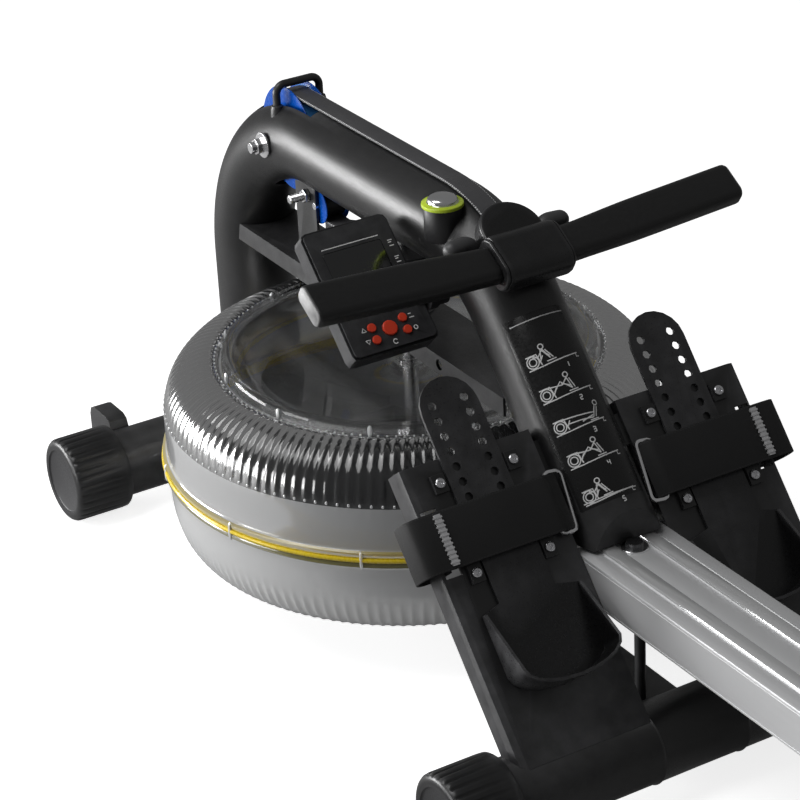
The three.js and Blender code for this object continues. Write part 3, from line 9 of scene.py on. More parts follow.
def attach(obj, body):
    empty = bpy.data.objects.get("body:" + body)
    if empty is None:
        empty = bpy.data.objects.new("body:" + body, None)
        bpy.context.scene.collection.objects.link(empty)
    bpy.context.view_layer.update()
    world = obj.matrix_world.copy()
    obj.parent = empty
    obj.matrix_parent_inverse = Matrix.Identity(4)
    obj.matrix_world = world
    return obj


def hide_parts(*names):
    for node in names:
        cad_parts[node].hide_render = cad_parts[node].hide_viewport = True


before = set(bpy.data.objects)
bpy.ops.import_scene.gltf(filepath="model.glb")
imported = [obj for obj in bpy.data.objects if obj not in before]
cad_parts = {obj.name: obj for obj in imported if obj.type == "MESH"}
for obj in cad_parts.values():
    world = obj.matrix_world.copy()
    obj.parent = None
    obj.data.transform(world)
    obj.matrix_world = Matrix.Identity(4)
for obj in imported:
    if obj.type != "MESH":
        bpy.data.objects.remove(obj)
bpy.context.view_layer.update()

# Camera. The photograph looks down the rail from behind and to the left, with a long lens and a slight roll.
# Its place was worked out from the tank's rings and the straight tubes.
MM = 0.001
TANK_Y = 587.5
FLANGE_HEIGHT = 158.0
VIEW_FROM = (-1318.4, -2273.2, 1368.2)
VIEW_DEGREES = (-29.84, 26.765, -3.057)


def at(x, y, z):
    """A point from millimetres on the tank's axis and flange to metres in the machine's frame."""
    return Vector((x * MM, (y + TANK_Y) * MM, (z + FLANGE_HEIGHT) * MM))


def camera_axes(azimuth, elevation, roll):
    a, e, r = (math.radians(v) for v in (azimuth, elevation, roll))
    back = Vector((math.sin(a) * math.cos(e), -math.cos(a) * math.cos(e), math.sin(e)))
    right = Vector((math.cos(a), math.sin(a), 0.0))
    up = back.cross(right)
    return right * math.cos(r) + up * math.sin(r), up * math.cos(r) - right * math.sin(r), back


lens = bpy.data.cameras.new("photo_view")
lens.lens = 126.0
lens.sensor_width = 36.0
lens.clip_end = 60.0
viewer = bpy.data.objects.new("photo_view", lens)
scene = bpy.context.scene
scene.collection.objects.link(viewer)
facing = Matrix(camera_axes(*VIEW_DEGREES)).transposed().to_4x4()
viewer.matrix_world = Matrix.Translation(at(*VIEW_FROM)) @ facing
scene.camera = viewer

# Studio. A plain white floor and background. The light comes from a low panel ahead on the left, whose
# streaks lie along the tubes' left flanks, from a soft panel above and from a weaker one on the left.
scene.view_settings.view_transform = "Standard"
FLOOR_HALF, FLOOR_DOWN = 14.0, -0.0012
PLAIN_GREY, LIT_WHITE, WHITE_GLOW, SKY_SOFT = 0.3, 0.86, 0.8, 0.07
SHINE_SHARE, THROUGH_SHARE = 0.12, 0.5


def node(tree, kind, inputs=(), **settings):
    """A new node in a tree. An input is given a value, or the output that feeds it."""
    made = tree.nodes.new("ShaderNode" + kind)
    for setting, value in settings.items():
        setattr(made, setting, value)
    for label, value in dict(inputs).items():
        if isinstance(value, bpy.types.NodeSocket):
            tree.links.new(value, made.inputs[label])
        else:
            made.inputs[label].default_value = value
    return made


def maths(tree, operation, *values, clamp=False):
    return node(tree, "Math", enumerate(values), operation=operation, use_clamp=clamp).outputs[0]


def seen_white(tree, plain, white, output):
    """The plain shader for light that reaches the object, the white one where it is looked at, and a share of
    it in what shines and in what is seen through."""
    path = node(tree, "LightPath").outputs
    through = maths(tree, "MULTIPLY", path["Is Transmission Ray"], THROUGH_SHARE)
    share = maths(tree, "MULTIPLY_ADD", path["Is Glossy Ray"], SHINE_SHARE, through)
    seen = maths(tree, "MAXIMUM", path["Is Camera Ray"], share, clamp=True)
    mixed = node(tree, "MixShader", {0: seen, 1: plain.outputs[0], 2: white.outputs[0]})
    node(tree, output, {"Surface": mixed.outputs[0]})


floor_paint = bpy.data.materials.new("studio_floor")
floor_paint.use_nodes = True
tree = floor_paint.node_tree
tree.nodes.clear()
plain = node(tree, "BsdfDiffuse", {"Color": (PLAIN_GREY, PLAIN_GREY, PLAIN_GREY, 1.0)})
lit = node(tree, "BsdfDiffuse", {"Color": (LIT_WHITE, LIT_WHITE, LIT_WHITE, 1.0)})
glow = node(tree, "Emission", {"Strength": WHITE_GLOW})
seen_white(tree, plain, node(tree, "AddShader", {0: lit.outputs[0], 1: glow.outputs[0]}), "OutputMaterial")
floor_mesh = bpy.data.meshes.new("studio_floor")
floor_mesh.from_pydata([(x * FLOOR_HALF, y * FLOOR_HALF, FLOOR_DOWN)
                        for x, y in ((-1, -1), (1, -1), (1, 1), (-1, 1))], [], [(0, 1, 2, 3)])
floor_mesh.materials.append(floor_paint)
studio_floor = bpy.data.objects.new("studio_floor", floor_mesh)
scene.collection.objects.link(studio_floor)

scene.world = bpy.data.worlds.new("studio")
scene.world.use_nodes = True
tree = scene.world.node_tree
tree.nodes.clear()
skies = [node(tree, "Background", {"Color": (1.0, 1.0, 1.0, 1.0), "Strength": v}) for v in (SKY_SOFT, 1.0)]
seen_white(tree, *skies, "OutputWorld")

for name, place, aim, wide, high, watts in (
        ("front_left_panel", (-1.9, 2.5, 0.42), (0.0, 0.5, 0.3), 1.4, 0.8, 62.0),
        ("top_panel", (-1.4, 0.9, 2.6), (0.0, 0.1, 0.2), 1.6, 1.6, 34.0),
        ("left_panel", (-3.1, 1.1, 0.5), (0.0, 0.3, 0.25), 1.0, 0.9, 24.0)):
    lamp = bpy.data.lights.new(name, "AREA")
    lamp.shape = "RECTANGLE"
    lamp.size, lamp.size_y, lamp.energy = wide, high, watts
    holder = bpy.data.objects.new(name, lamp)
    scene.collection.objects.link(holder)
    place = Vector(place)
    aimed = (place - Vector(aim)).to_track_quat("Z", "Y").to_matrix().to_4x4()
    holder.matrix_world = Matrix.Translation(place) @ aimed

# Painted steel. The welded frame, crossbars, beams and arms are tube and plate in a satin grey-black
# powder coat: a fine orange peel, faint mottling and slightly polished edges.
MOTTLE_SCALE, EDGE_REACH, GLOSS_SPREAD, COAT_ROUGHNESS = 14.0, 0.03, 0.08, 0.12


def node_group(name, inputs, output, kind):
    """A shader node group with named inputs and one output: its tree, what comes in, and where it leaves."""
    group = bpy.data.node_groups.new(name, "ShaderNodeTree")
    for label, value in inputs.items():
        of_colour = isinstance(value, tuple)
        socket = group.interface.new_socket(label, in_out="INPUT",
                                            socket_type="NodeSocketColor" if of_colour else "NodeSocketFloat")
        socket.default_value = value
    group.interface.new_socket(output, in_out="OUTPUT", socket_type=kind)
    entry, leave = group.nodes.new("NodeGroupInput"), group.nodes.new("NodeGroupOutput")
    return group, entry.outputs, leave.inputs[output]


def surface_noise(tree, scale, **more):
    place = node(tree, "TexCoord").outputs["Object"]
    return node(tree, "TexNoise", {"Vector": place, "Scale": scale, **more}).outputs["Fac"]


# A colour drifting a little lighter and darker over the surface.
mottle_group, given, result = node_group(
    "mottle", {"Color": (0.5, 0.5, 0.5, 1.0), "Scale": 12.0, "Amount": 0.2}, "Color", "NodeSocketColor")
patches = surface_noise(mottle_group, given["Scale"], Detail=5.0, Roughness=0.6)
centred = maths(mottle_group, "SUBTRACT", patches, 0.5)
part = maths(mottle_group, "MULTIPLY_ADD", centred, given["Amount"], 1.0)
tint = node(mottle_group, "VectorMath", {0: given["Color"], "Scale": part}, operation="SCALE")
mottle_group.links.new(tint.outputs[0], result)

# The height of a fine, even grain, as of powder coat or moulded plastic.
grain_group, given, result = node_group(
    "grain", {"Scale": 900.0, "Softness": 0.5}, "Height", "NodeSocketFloat")
specks = surface_noise(grain_group, given["Scale"], Detail=2.0, Roughness=given["Softness"])
grain_group.links.new(specks, result)

# A mask of the outer edges, broken up: where handling has polished the coat, and on the blue pulley where its
# edges carry a painted highlight.
wear_glint_edge_group, given, result = node_group(
    "edge_wear_and_glint", {"Reach": 0.03, "Patches": 60.0}, "Mask", "NodeSocketFloat")
patches = surface_noise(wear_glint_edge_group, given["Patches"], Detail=3.0)
sharp = maths(wear_glint_edge_group, "SUBTRACT", node(wear_glint_edge_group, "NewGeometry").outputs["Pointiness"], 0.5)
wear_and_glint = maths(wear_glint_edge_group, "DIVIDE", sharp, given["Reach"], clamp=True)
wear_glint_edge_group.links.new(maths(wear_glint_edge_group, "MULTIPLY", wear_and_glint, patches, clamp=True), result)


def new_material(name, uniform):
    """A material, its tree and its shader; what is the same all over goes on the shader's own sockets."""
    material = bpy.data.materials.new(name)
    material.use_nodes = True
    shader = material.node_tree.nodes["Principled BSDF"]
    for label, value in uniform.items():
        shader.inputs[label].default_value = value
    return material, material.node_tree, shader


def placed(tree, group, values):
    return node(tree, "Group", values, node_tree=group).outputs[0]


def mottled(tree, colour, scale, amount):
    return placed(tree, mottle_group, {"Color": (*colour, 1.0), "Scale": scale, "Amount": amount})


def laid_over(tree, mask, base, colour):
    """The base colour with another over it where the mask is."""
    mixed = node(tree, "Mix", {"Factor": mask, "A": base, "B": (*colour, 1.0)}, data_type="RGBA")
    return mixed.outputs["Result"]


def uneven_gloss(tree, shader, value, low, high, value_low=0.0, value_high=1.0):
    """Roughness from low to high as a value that varies over the surface rises."""
    spread = node(tree, "MapRange", {"Value": value, "From Min": value_low, "From Max": value_high,
                                     "To Min": low, "To Max": high})
    tree.links.new(spread.outputs["Result"], shader.inputs["Roughness"])


def bumped(tree, shader, height, strength, distance):
    bump = node(tree, "Bump", {"Height": height, "Strength": strength, "Distance": distance})
    tree.links.new(bump.outputs["Normal"], shader.inputs["Normal"])


def finish(name, colour, roughness, metallic=0.0, *, grain, mottle=0.15, depth=0.05, wear_and_glint_edge_colour=None,
           coat=0.0, specular=0.5):
    """A surface of one colour with mottling, a fine grain, uneven gloss and lighter edges: polished wear on
    most surfaces, a painted highlight on the blue pulley.
    """
    material, tree, shader = new_material(name, {
        "Metallic": metallic, "Specular IOR Level": specular,
        "Coat Weight": coat, "Coat Roughness": COAT_ROUGHNESS})
    base = mottled(tree, colour, MOTTLE_SCALE, mottle)
    if wear_and_glint_edge_colour:
        base = laid_over(tree, placed(tree, wear_glint_edge_group, {"Reach": EDGE_REACH}), base, wear_and_glint_edge_colour)
    tree.links.new(base, shader.inputs["Base Color"])
    fine = placed(tree, grain_group, {"Scale": grain})
    low, high = max(roughness - GLOSS_SPREAD, 0.02), min(roughness + GLOSS_SPREAD, 1.0)
    uneven_gloss(tree, shader, fine, low, high, 0.3, 0.7)
    bumped(tree, shader, fine, depth, MM)
    return material


def dress(name, material, edge=0.0006, angle=38.0):
    """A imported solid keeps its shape: its curved faces turn smooth and its edges get a small round."""
    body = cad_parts[name]
    body.data.materials.clear()
    body.data.materials.append(material)
    body.data.polygons.foreach_set("use_smooth", [True] * len(body.data.polygons))
    body.modifiers.new("weld", "WELD").merge_threshold = 0.00002
    if edge:
        bevel = body.modifiers.new("edges", "BEVEL")
        bevel.width = edge
        bevel.segments = 2
        bevel.limit_method = "ANGLE"
        bevel.angle_limit = math.radians(angle)
        bevel.harden_normals = True
        bevel.use_clamp_overlap = True
    else:
        body.modifiers.new("split", "EDGE_SPLIT").split_angle = math.radians(angle)
    body.modifiers.new("even_shading", "WEIGHTED_NORMAL").keep_sharp = True


steel_paint = finish("steel_paint", (0.006, 0.006, 0.0063), 0.37, mottle=0.14, grain=700.0, depth=0.02,
                     wear_and_glint_edge_colour=(0.06, 0.06, 0.062), specular=0.55)
for piece in ("lower_beam", "wheel_arm_left", "wheel_arm_right", "idler_bracket", "rear_leg", "upper_beam"):
    dress(piece, steel_paint)


def shade_smooth(mesh, angle):
    mesh.polygons.foreach_set("use_smooth", [True] * len(mesh.polygons))
    mesh.set_sharp_from_angle(angle=math.radians(angle))
    return mesh


def ride_along(name, mesh, materials, body, kinds=None):
    """A piece that moves with a body; kinds gives each face's place in the list of materials."""
    for one in materials if isinstance(materials, list) else [materials]:
        mesh.materials.append(one)
    if kinds:
        mesh.polygons.foreach_set("material_index", kinds)
    piece = bpy.data.objects.new(name, mesh)
    scene.collection.objects.link(piece)
    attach(piece, body)
    return piece


def add_piece(name, shape, materials, body, angle=38.0, kinds=None):
    """A piece made from a shape, which is its (points, faces)."""
    mesh = bpy.data.meshes.new(name)
    mesh.from_pydata([tuple(p) for p in shape[0]], [], shape[1])
    mesh.validate()
    mesh.update()
    return ride_along(name, shade_smooth(mesh, angle), materials, body, kinds)


def circle(sides):
    return [2 * math.pi * k / sides for k in range(sides)]


def skin(rows, ends=True):
    """A closed skin through rows of points, flat at its two ends."""
    n = len(rows[0])
    faces = [(i * n + j, i * n + (j + 1) % n, (i + 1) * n + (j + 1) % n, (i + 1) * n + j)
             for i in range(len(rows) - 1) for j in range(n)]
    if ends:
        faces += [tuple(range(n))[::-1], tuple((len(rows) - 1) * n + j for j in range(n))]
    return [p for row in rows for p in row], faces


def joined(*shapes):
    points, faces = [], []
    for more, skins in shapes:
        faces += [tuple(len(points) + v for v in f) for f in skins]
        points += more
    return points, faces


def flipped(shape):
    return shape[0], [f[::-1] for f in shape[1]]


def swept(line, radii, sides):
    """A round bar along a line of points in mm; its radius may change, and it ends flat."""
    line = [Vector(p) for p in line]
    radii = radii if isinstance(radii, list) else [radii] * len(line)
    rows, side = [], None
    for i, place in enumerate(line):
        along = (line[min(i + 1, len(line) - 1)] - line[max(i - 1, 0)]).normalized()
        if side is None:
            side = along.cross(Vector((1, 0, 0)) if abs(along.x) < 0.8 else Vector((0, 1, 0))).normalized()
        side = (side - along * side.dot(along)).normalized()
        other = along.cross(side)
        rows.append([at(*(place + (side * math.cos(a) + other * math.sin(a)) * radii[i]))
                     for a in circle(sides)])
    return skin(rows)


BOX_SIDES = [(3, 2, 1, 0), (4, 5, 6, 7), (0, 1, 5, 4), (1, 2, 6, 5), (2, 3, 7, 6), (3, 0, 4, 7)]


def block(x0, x1, y0, y1, z0, z1):
    return [at(x, y, z) for z in (z0, z1) for x, y in ((x0, y0), (x1, y0), (x1, y1), (x0, y1))], BOX_SIDES


def shaped(name, start, *steps):
    """A closed mesh with others joined to it or cut out of it, as (what is done, shape)."""
    def thing(label, shape):
        mesh = bpy.data.meshes.new(label)
        mesh.from_pydata([tuple(p) for p in shape[0]], [], shape[1])
        work = bmesh.new()
        work.from_mesh(mesh)
        bmesh.ops.recalc_face_normals(work, faces=work.faces)
        work.to_mesh(mesh)
        work.free()
        made = bpy.data.objects.new(label, mesh)
        scene.collection.objects.link(made)
        return made

    body = thing(name, start)
    tools = []
    for i, (what, other) in enumerate(steps):
        tools.append(thing(f"{name}_step_{i}", other))
        step = body.modifiers.new(f"step_{i}", "BOOLEAN")
        step.operation = what
        step.solver = "EXACT"
        step.object = tools[-1]
    mesh = bpy.data.meshes.new_from_object(body.evaluated_get(bpy.context.evaluated_depsgraph_get()))
    mesh.name = name
    for spare in [body, *tools]:
        old = spare.data
        bpy.data.objects.remove(spare)
        bpy.data.meshes.remove(old)
    return mesh


TUBE_TOP, ELBOW_Y, ELBOW_R, FRONT_BEND_R, UPRIGHT_Y = 279.6, -97.84, 150.0, 179.0, 337.0
TUBE_R, TUBE_BORE_R = 45.0, 42.0
SLOPE_ANGLE = math.radians(49)
CUT = "DIFFERENCE"
AXLE_Y, AXLE_Z = 208, 275.5
FRONT_BAR_Y, REAR_BAR_Y, CROSSBAR_Z = 323, -479, -110
RAIL_GAP_Z, RAIL_END_Y = 54.1, -393


def tube_line(low=-110.0):
    """The bent tube's middle, in mm: upright, front bend, level run, elbow, slope."""
    line = [(0, UPRIGHT_Y, low), (0, UPRIGHT_Y, low * 0.5)]
    for k in range(46):
        a = math.radians(2 * k)
        line.append((0, UPRIGHT_Y - FRONT_BEND_R + FRONT_BEND_R * math.cos(a),
                     TUBE_TOP - FRONT_BEND_R + FRONT_BEND_R * math.sin(a)))
    line += [(0, y, TUBE_TOP) for y in (120, 80, 40, 0, -40)]
    for k in range(26):
        a = SLOPE_ANGLE * k / 25
        line.append((0, ELBOW_Y - ELBOW_R * math.sin(a), TUBE_TOP - ELBOW_R + ELBOW_R * math.cos(a)))
    last = line[-1]
    return line + [(0, last[1] - run * math.cos(SLOPE_ANGLE), last[2] - run * math.sin(SLOPE_ANGLE))
                   for run in (40, 90, 150, 200, 250)]


def main_tube_mesh():
    """The tube's wall with its slot, its bolt hole and its rear end cut to sit on the rail."""
    hollow = shaped("tube_hollow", swept(tube_line(-116.0), TUBE_BORE_R, 64),
                    (CUT, block(-98, 98, -786, 247, -316, RAIL_GAP_Z + 4)),
                    (CUT, block(-90, 90, -800, RAIL_END_Y + 4, -160, 300)))
    inner = ([v.co.copy() for v in hollow.vertices], [tuple(p.vertices) for p in hollow.polygons])
    bpy.data.meshes.remove(hollow)
    mesh = shaped("main_tube_wall", swept(tube_line(), TUBE_R, 96),
                  (CUT, block(-98, 98, -786, 247, -316, RAIL_GAP_Z)),
                  (CUT, block(-90, 90, -800, RAIL_END_Y, -160, 300)),
                  (CUT, inner), (CUT, block(-20, 20, 146, 270, 213.5, 337.5)),
                  (CUT, swept([(-90, AXLE_Y, AXLE_Z), (90, AXLE_Y, AXLE_Z)], 6.3, 24)),
                  (CUT, swept([(-90, FRONT_BAR_Y, CROSSBAR_Z), (90, FRONT_BAR_Y, CROSSBAR_Z)], 38.3, 64)))
    mesh.polygons.foreach_set("use_smooth", [True] * len(mesh.polygons))
    here = np.array([v.co for v in mesh.vertices])
    line = np.array([at(*p) for p in tube_line()])
    run = np.diff(line, axis=0)
    share = np.clip(((here[:, None] - line[:-1]) * run).sum(2) / (run ** 2).sum(1), 0, 1)
    out = here[:, None] - (line[:-1] + share[..., None] * run)
    away = np.linalg.norm(out, axis=2)
    near, each = away.argmin(1), np.arange(len(here))
    away = away[each, near]
    out = out[each, near] / away[:, None]
    out[away < (TUBE_R + TUBE_BORE_R) / 2 * MM] *= -1
    normals = []
    for face in mesh.polygons:
        for loop in face.loop_indices:
            round_way = Vector(out[mesh.loops[loop].vertex_index])
            normals.append(round_way if round_way.dot(face.normal) > 0.9 else face.normal.copy())
    mesh.normals_split_custom_set(normals)
    return mesh


main_tube = ride_along("main_tube_wall", main_tube_mesh(), steel_paint, "frame")
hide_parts("main_tube")
SIDES = (("left", -1), ("right", 1))
SLOPE = math.radians(49.1)


def on_slope(x, s, h):
    """A point on the foot plates' plane: across, down the slope, above the plate, in mm."""
    return Vector((x, -301 - s * math.cos(SLOPE) - h * math.sin(SLOPE),
                   149 - s * math.sin(SLOPE) + h * math.cos(SLOPE)))


for where, side in SIDES:
    lug = [at(*on_slope(side * x, s, h)) for s in (12, 44)
           for x, h in ((22.5, -25.3), (172, -25.3), (172, -3.3), (22.5, -3.3))]
    add_piece(f"plate_lug_{where}", (lug, BOX_SIDES), steel_paint, "frame")
BAR_PROFILE = [
    (-258.7, 37.2), (-258.1, 38), (-50, 38), (-48.5, 39.5), (-47, 38.2), (0, 38), (47, 38.2),
    (48.5, 39.5), (50, 38), (258.1, 38), (258.7, 37.2)]
CROSSBARS = (("front", FRONT_BAR_Y), ("rear", REAR_BAR_Y))
for where, bar_y in CROSSBARS:
    tube = swept([(x, bar_y, CROSSBAR_Z) for x, _ in BAR_PROFILE], [r for _, r in BAR_PROFILE], 80)
    bar = add_piece(f"{where}_crossbar_tube", tube, steel_paint, "frame", 50)
    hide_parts(f"{where}_crossbar")


def rounded_line(corners, radius, step=6.0):
    """A line through corners in mm, each turned on an arc."""
    corners = [Vector(c) for c in corners]
    line = [corners[0]]
    for before, corner, after in zip(corners, corners[1:], corners[2:]):
        back, on = (before - corner).normalized(), (after - corner).normalized()
        turn = math.pi - back.angle(on)
        centre = corner + (back + on).normalized() * radius / math.cos(turn / 2)
        start = corner + back * radius * math.tan(turn / 2) - centre
        axis = back.cross(start).normalized()
        steps = max(2, int(math.degrees(turn) / step))
        line += [centre + Matrix.Rotation(turn * k / steps, 3, axis) @ start for k in range(steps + 1)]
    return line + [corners[-1]]


GUARD_X, GUARD_TOP, GUARD_FOOT = 26, 337.7, 300
guard_line = rounded_line([(-GUARD_X, AXLE_Y, GUARD_FOOT), (-GUARD_X, AXLE_Y, GUARD_TOP),
                           (GUARD_X, AXLE_Y, GUARD_TOP), (GUARD_X, AXLE_Y, GUARD_FOOT)], 10)
WELD = ((296, 7.6), (311.5, 7.2), (315.5, 6.2), (316.6, 4.2))
welds = [swept([(side * GUARD_X, AXLE_Y, z) for z, _ in WELD], [r for _, r in WELD], 32) for side in (-1, 1)]
guard_rod = joined(swept(guard_line, 4.25, 32), *welds)
guard = add_piece("belt_guard_rod", guard_rod, steel_paint, "frame", 40)
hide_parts("belt_guard")

HOOK_R = 9.5
hook_sleeve = finish("hook_sleeve", (0.06, 0.06, 0.062), 0.42, grain=500.0, depth=0.03)
for where, side in SIDES:
    line = rounded_line([(side * 24, -198, 258), (side * 42, -195, 300), (side * 61, -196, 299)], 13)
    on, tip, radii = (line[-1] - line[-2]).normalized(), line[-1], [HOOK_R] * len(line)
    for k in range(1, 8):
        a = math.pi / 2 * k / 7.2
        line.append(tip + on * HOOK_R * math.sin(a))
        radii.append(HOOK_R * math.cos(a))
    rod = swept(line, radii, 40)
    hook = add_piece(f"handle_hook_rod_{where}", rod, hook_sleeve, "frame", 60)
    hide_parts(f"handle_hook_{where}")

# Crossbar end caps. Black moulded plastic, one on each end of both bars: short grooves round the rim,
# a rounded outer edge and a sunk round face.


def turned(profile, centre, axis, sides, shape=None):
    """A profile (radius, place along the axis, in mm) turned about an axis."""
    axis = Vector(axis)
    u = Vector((0, 1, 0)) if abs(axis.x) > 0.5 else Vector((1, 0, 0))
    v = axis.cross(u)
    points, n = [], len(profile)
    for angle in circle(sides):
        out = u * math.cos(angle) + v * math.sin(angle)
        for j, (r, h) in enumerate(profile):
            if shape:
                r, h = shape(j, r, h, angle)
            points.append(centre + (out * r + axis * h) * MM)
    return points, [(i * n + j, i * n + j + 1, k * n + j + 1, k * n + j)
                    for i in range(sides) for k in [(i + 1) % sides] for j in range(n - 1)]


cap_plastic = finish("cap_plastic", (0.006, 0.006, 0.0065), 0.36, mottle=0.25, grain=500.0,
                     wear_and_glint_edge_colour=(0.05, 0.05, 0.052))
cap_face_plastic = finish("cap_face_plastic", (0.03, 0.03, 0.032), 0.42, mottle=0.12, grain=600.0, depth=0.06)
CAP_GROOVES, GROOVE_DEPTH = 30, 1.5
GROOVE_FADE = {9: 0.5, 10: 1.0, 11: 1.0, 12: 0.9, 13: 0.6, 14: 0.25}
CAP_PROFILE = [(0.1, 268.8), (34.5, 268.8), (35.3, 269.2), (36.0, 270.6), (38.5, 271.0)]
CAP_PROFILE += [(40.0 + 8.0 * math.sin(a), 263.0 + 8.0 * math.cos(a))
                for a in np.linspace(0.05, math.pi / 2, 7)]
CAP_PROFILE += [(48.0, 256.0), (48.0, 240.0), (48.0, 226.0), (48.0, 213.0), (47.6, 207.0), (46.2, 205.2),
                (38.4, 205.2), (38.4, 213.0)]
for end, bar_y in CROSSBARS:
    for where, side in SIDES:
        def grooved(j, r, h, angle):
            wave = (0.5 + 0.5 * math.cos(CAP_GROOVES * angle)) ** 3
            return r - GROOVE_DEPTH * wave * GROOVE_FADE.get(j, 0.0), h * side

        cap = turned(CAP_PROFILE, at(0, bar_y, CROSSBAR_Z), (1, 0, 0), CAP_GROOVES * 8, grooved)
        kinds = ([1] * 3 + [0] * (len(CAP_PROFILE) - 4)) * CAP_GROOVES * 8
        moulding = add_piece(f"cap_{end}_{where}_moulding", flipped(cap) if side < 0 else cap,
                             [cap_plastic, cap_face_plastic], "frame", 50, kinds)
        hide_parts(f"cap_{end}_{where}")

# Wheels and feet. Hard rubber transport wheels on the front arms, rubber shoes on the rear foot,
# and a plastic plug in the rail's rear end.
foot_rubber = finish("foot_rubber", (0.02, 0.02, 0.021), 0.62, mottle=0.3, grain=350.0, depth=0.2)
for piece in ("transport_wheel_left", "transport_wheel_right", "rear_foot_left", "rear_foot_right"):
    dress(piece, foot_rubber, edge=0.001)
dress("rail_end_cap", cap_plastic, edge=0.0012)

# Tank. Two moulded bowls meet at a flange with a yellow gasket. The clear upper one is fluted over its
# shoulder, the pale lower one ribbed round its bottom edge; a clear dished lid closes the top.
RIBS = 144
FLUTE_DEPTH, RIB_DEPTH = 1.0, 1.7
TANK_UPPER = [
    (252, 2.9), (264.5, 2.9), (265, 3.5), (265, 7.7), (264.2, 8.5), (262.0, 9.0), (260.9, 10.2),
    (260.5, 12), (260.5, 28), (260.5, 42), (260.4, 49), (260.0, 55), (259.2, 61), (257.7, 67.5),
    (255.6, 74), (252.4, 81), (248, 87.3), (242.4, 93), (235.2, 98.4), (227, 102.6), (219.5, 105.6),
    (212.5, 107), (207.5, 106.6), (203.4, 105), (200.8, 102.6), (198.9, 101.2), (196.6, 101),
    (196.5, 97.2), (200.6, 97.4), (203.8, 100.6), (211, 103.2), (218, 102.0), (226, 99.1), (233.6, 94.8),
    (240.2, 89.8), (245.4, 83.6), (249.6, 76), (252.6, 69), (254.8, 61), (256.2, 53), (256.5, 46),
    (256.5, 12), (254.5, 9.5), (252, 8.5), (252, 2.9)]
TANK_LOWER = [
    (252, -2.9), (264.5, -2.9), (265, -3.5), (265, -7.7), (264.2, -8.5), (262, -9.0), (260.9, -10.2),
    (260.5, -12), (260.2, -26), (259.6, -40), (258.4, -51), (256.3, -61), (253.2, -71), (249, -79),
    (244, -85.4), (238, -90.3), (230.5, -94), (222, -96.4), (200, -97.3), (150, -98), (146, -101),
    (143, -110), (140, -119.2), (0.2, -119.2), (0.2, -115.2), (136.5, -115.2), (139.5, -103),
    (143, -94.6), (150, -94), (200, -93.2), (221, -92.6), (229, -90.2), (236, -86.7), (241.5, -82.4),
    (246, -76.6), (249.6, -69), (252.4, -60), (255, -50), (256.2, -38), (256.5, -12), (254.5, -9.5),
    (252, -8.5), (252, -2.9)]
GASKET = [
    (249.6, -6.0), (251.6, -6.0), (251.6, -2.5), (263, -2.6), (265.5, -2.2), (266.5, -1.0), (266.7, 0),
    (266.5, 1.0), (265.5, 2.2), (263, 2.6), (251.6, 2.5), (251.6, 6.0), (249.6, 6.0), (249.6, -6.0)]
LID = [
    (11, 84), (11, 94), (15.5, 94), (17, 90), (20, 88.6), (80, 88.4), (148, 88.5), (156, 89.4),
    (166, 93.5), (176, 101), (183, 109), (186.5, 112.8), (190, 114), (193.6, 113.2), (195.6, 110.5),
    (196.1, 106), (196.1, 101.5), (190, 101.5), (186.5, 105), (181, 98), (172, 90), (160, 85.2),
    (150, 84), (80, 84), (11, 84)]


def flute(j, r, h, angle):
    """Rounded flutes on the outside of the shoulder, from its foot to the seam of the lid."""
    if 12 <= j <= 23:
        reach = min(1.0, (24 - j) / 1.5)
        depth = FLUTE_DEPTH * reach * (1.0 - (0.5 + 0.5 * math.cos(RIBS * angle)) ** 1.4)
        slope = min(max((h - 66.0) / 40.0, 0.0), 1.0)
        r -= depth * (1.0 - 0.75 * slope)
        h -= depth * slope
    return r, h


def lower_rib(from_end, r, h, angle):
    """Ribs round the bottom edge; the profile is turned from its last point to its first."""
    j = len(TANK_LOWER) - 1 - from_end
    if 11 <= j <= 17:
        reach = min(1.0, (j - 10) / 2.0, (18 - j) / 2.0)
        r -= RIB_DEPTH * reach * (1.0 - (0.5 + 0.5 * math.cos(RIBS * angle)) ** 2)
    return r, h


def clear_plastic(name, tint, roughness, transmission, alpha=1.0):
    material, tree, shader = new_material(name, {
        "Transmission Weight": transmission, "IOR": 1.5, "Roughness": roughness, "Alpha": alpha})
    tree.links.new(mottled(tree, tint, 9.0, 0.06), shader.inputs["Base Color"])
    bumped(tree, shader, placed(tree, grain_group, {"Scale": 60.0, "Softness": 0.3}), 0.03, 0.002)
    return material


upper_clear = clear_plastic("upper_clear", (0.62, 0.625, 0.63), 0.1, 0.5)
# The fluted shoulder takes a near-black tint: painted shade for the dark inside of the tank that the flutes
# show.
flute_painted_dark = clear_plastic("flute_painted_dark", (0.05, 0.0505, 0.052), 0.12, 0.6)
lid_clear = clear_plastic("lid_clear", (0.5, 0.505, 0.51), 0.03, 0.96, 0.6)
lower_pale = clear_plastic("lower_pale", (0.74, 0.745, 0.752), 0.25, 0.45)
# The lower bowl's floor, inside and under, is near black: painted shade that darkens the view down through
# the lid.
bowl_floor_painted_shade = finish("bowl_floor_painted_shade", (0.005, 0.005, 0.0054), 0.3, mottle=0.2, grain=300.0, depth=0.03)
lip_gold = clear_plastic("lip_gold", (0.72, 0.6, 0.22), 0.12, 0.6)
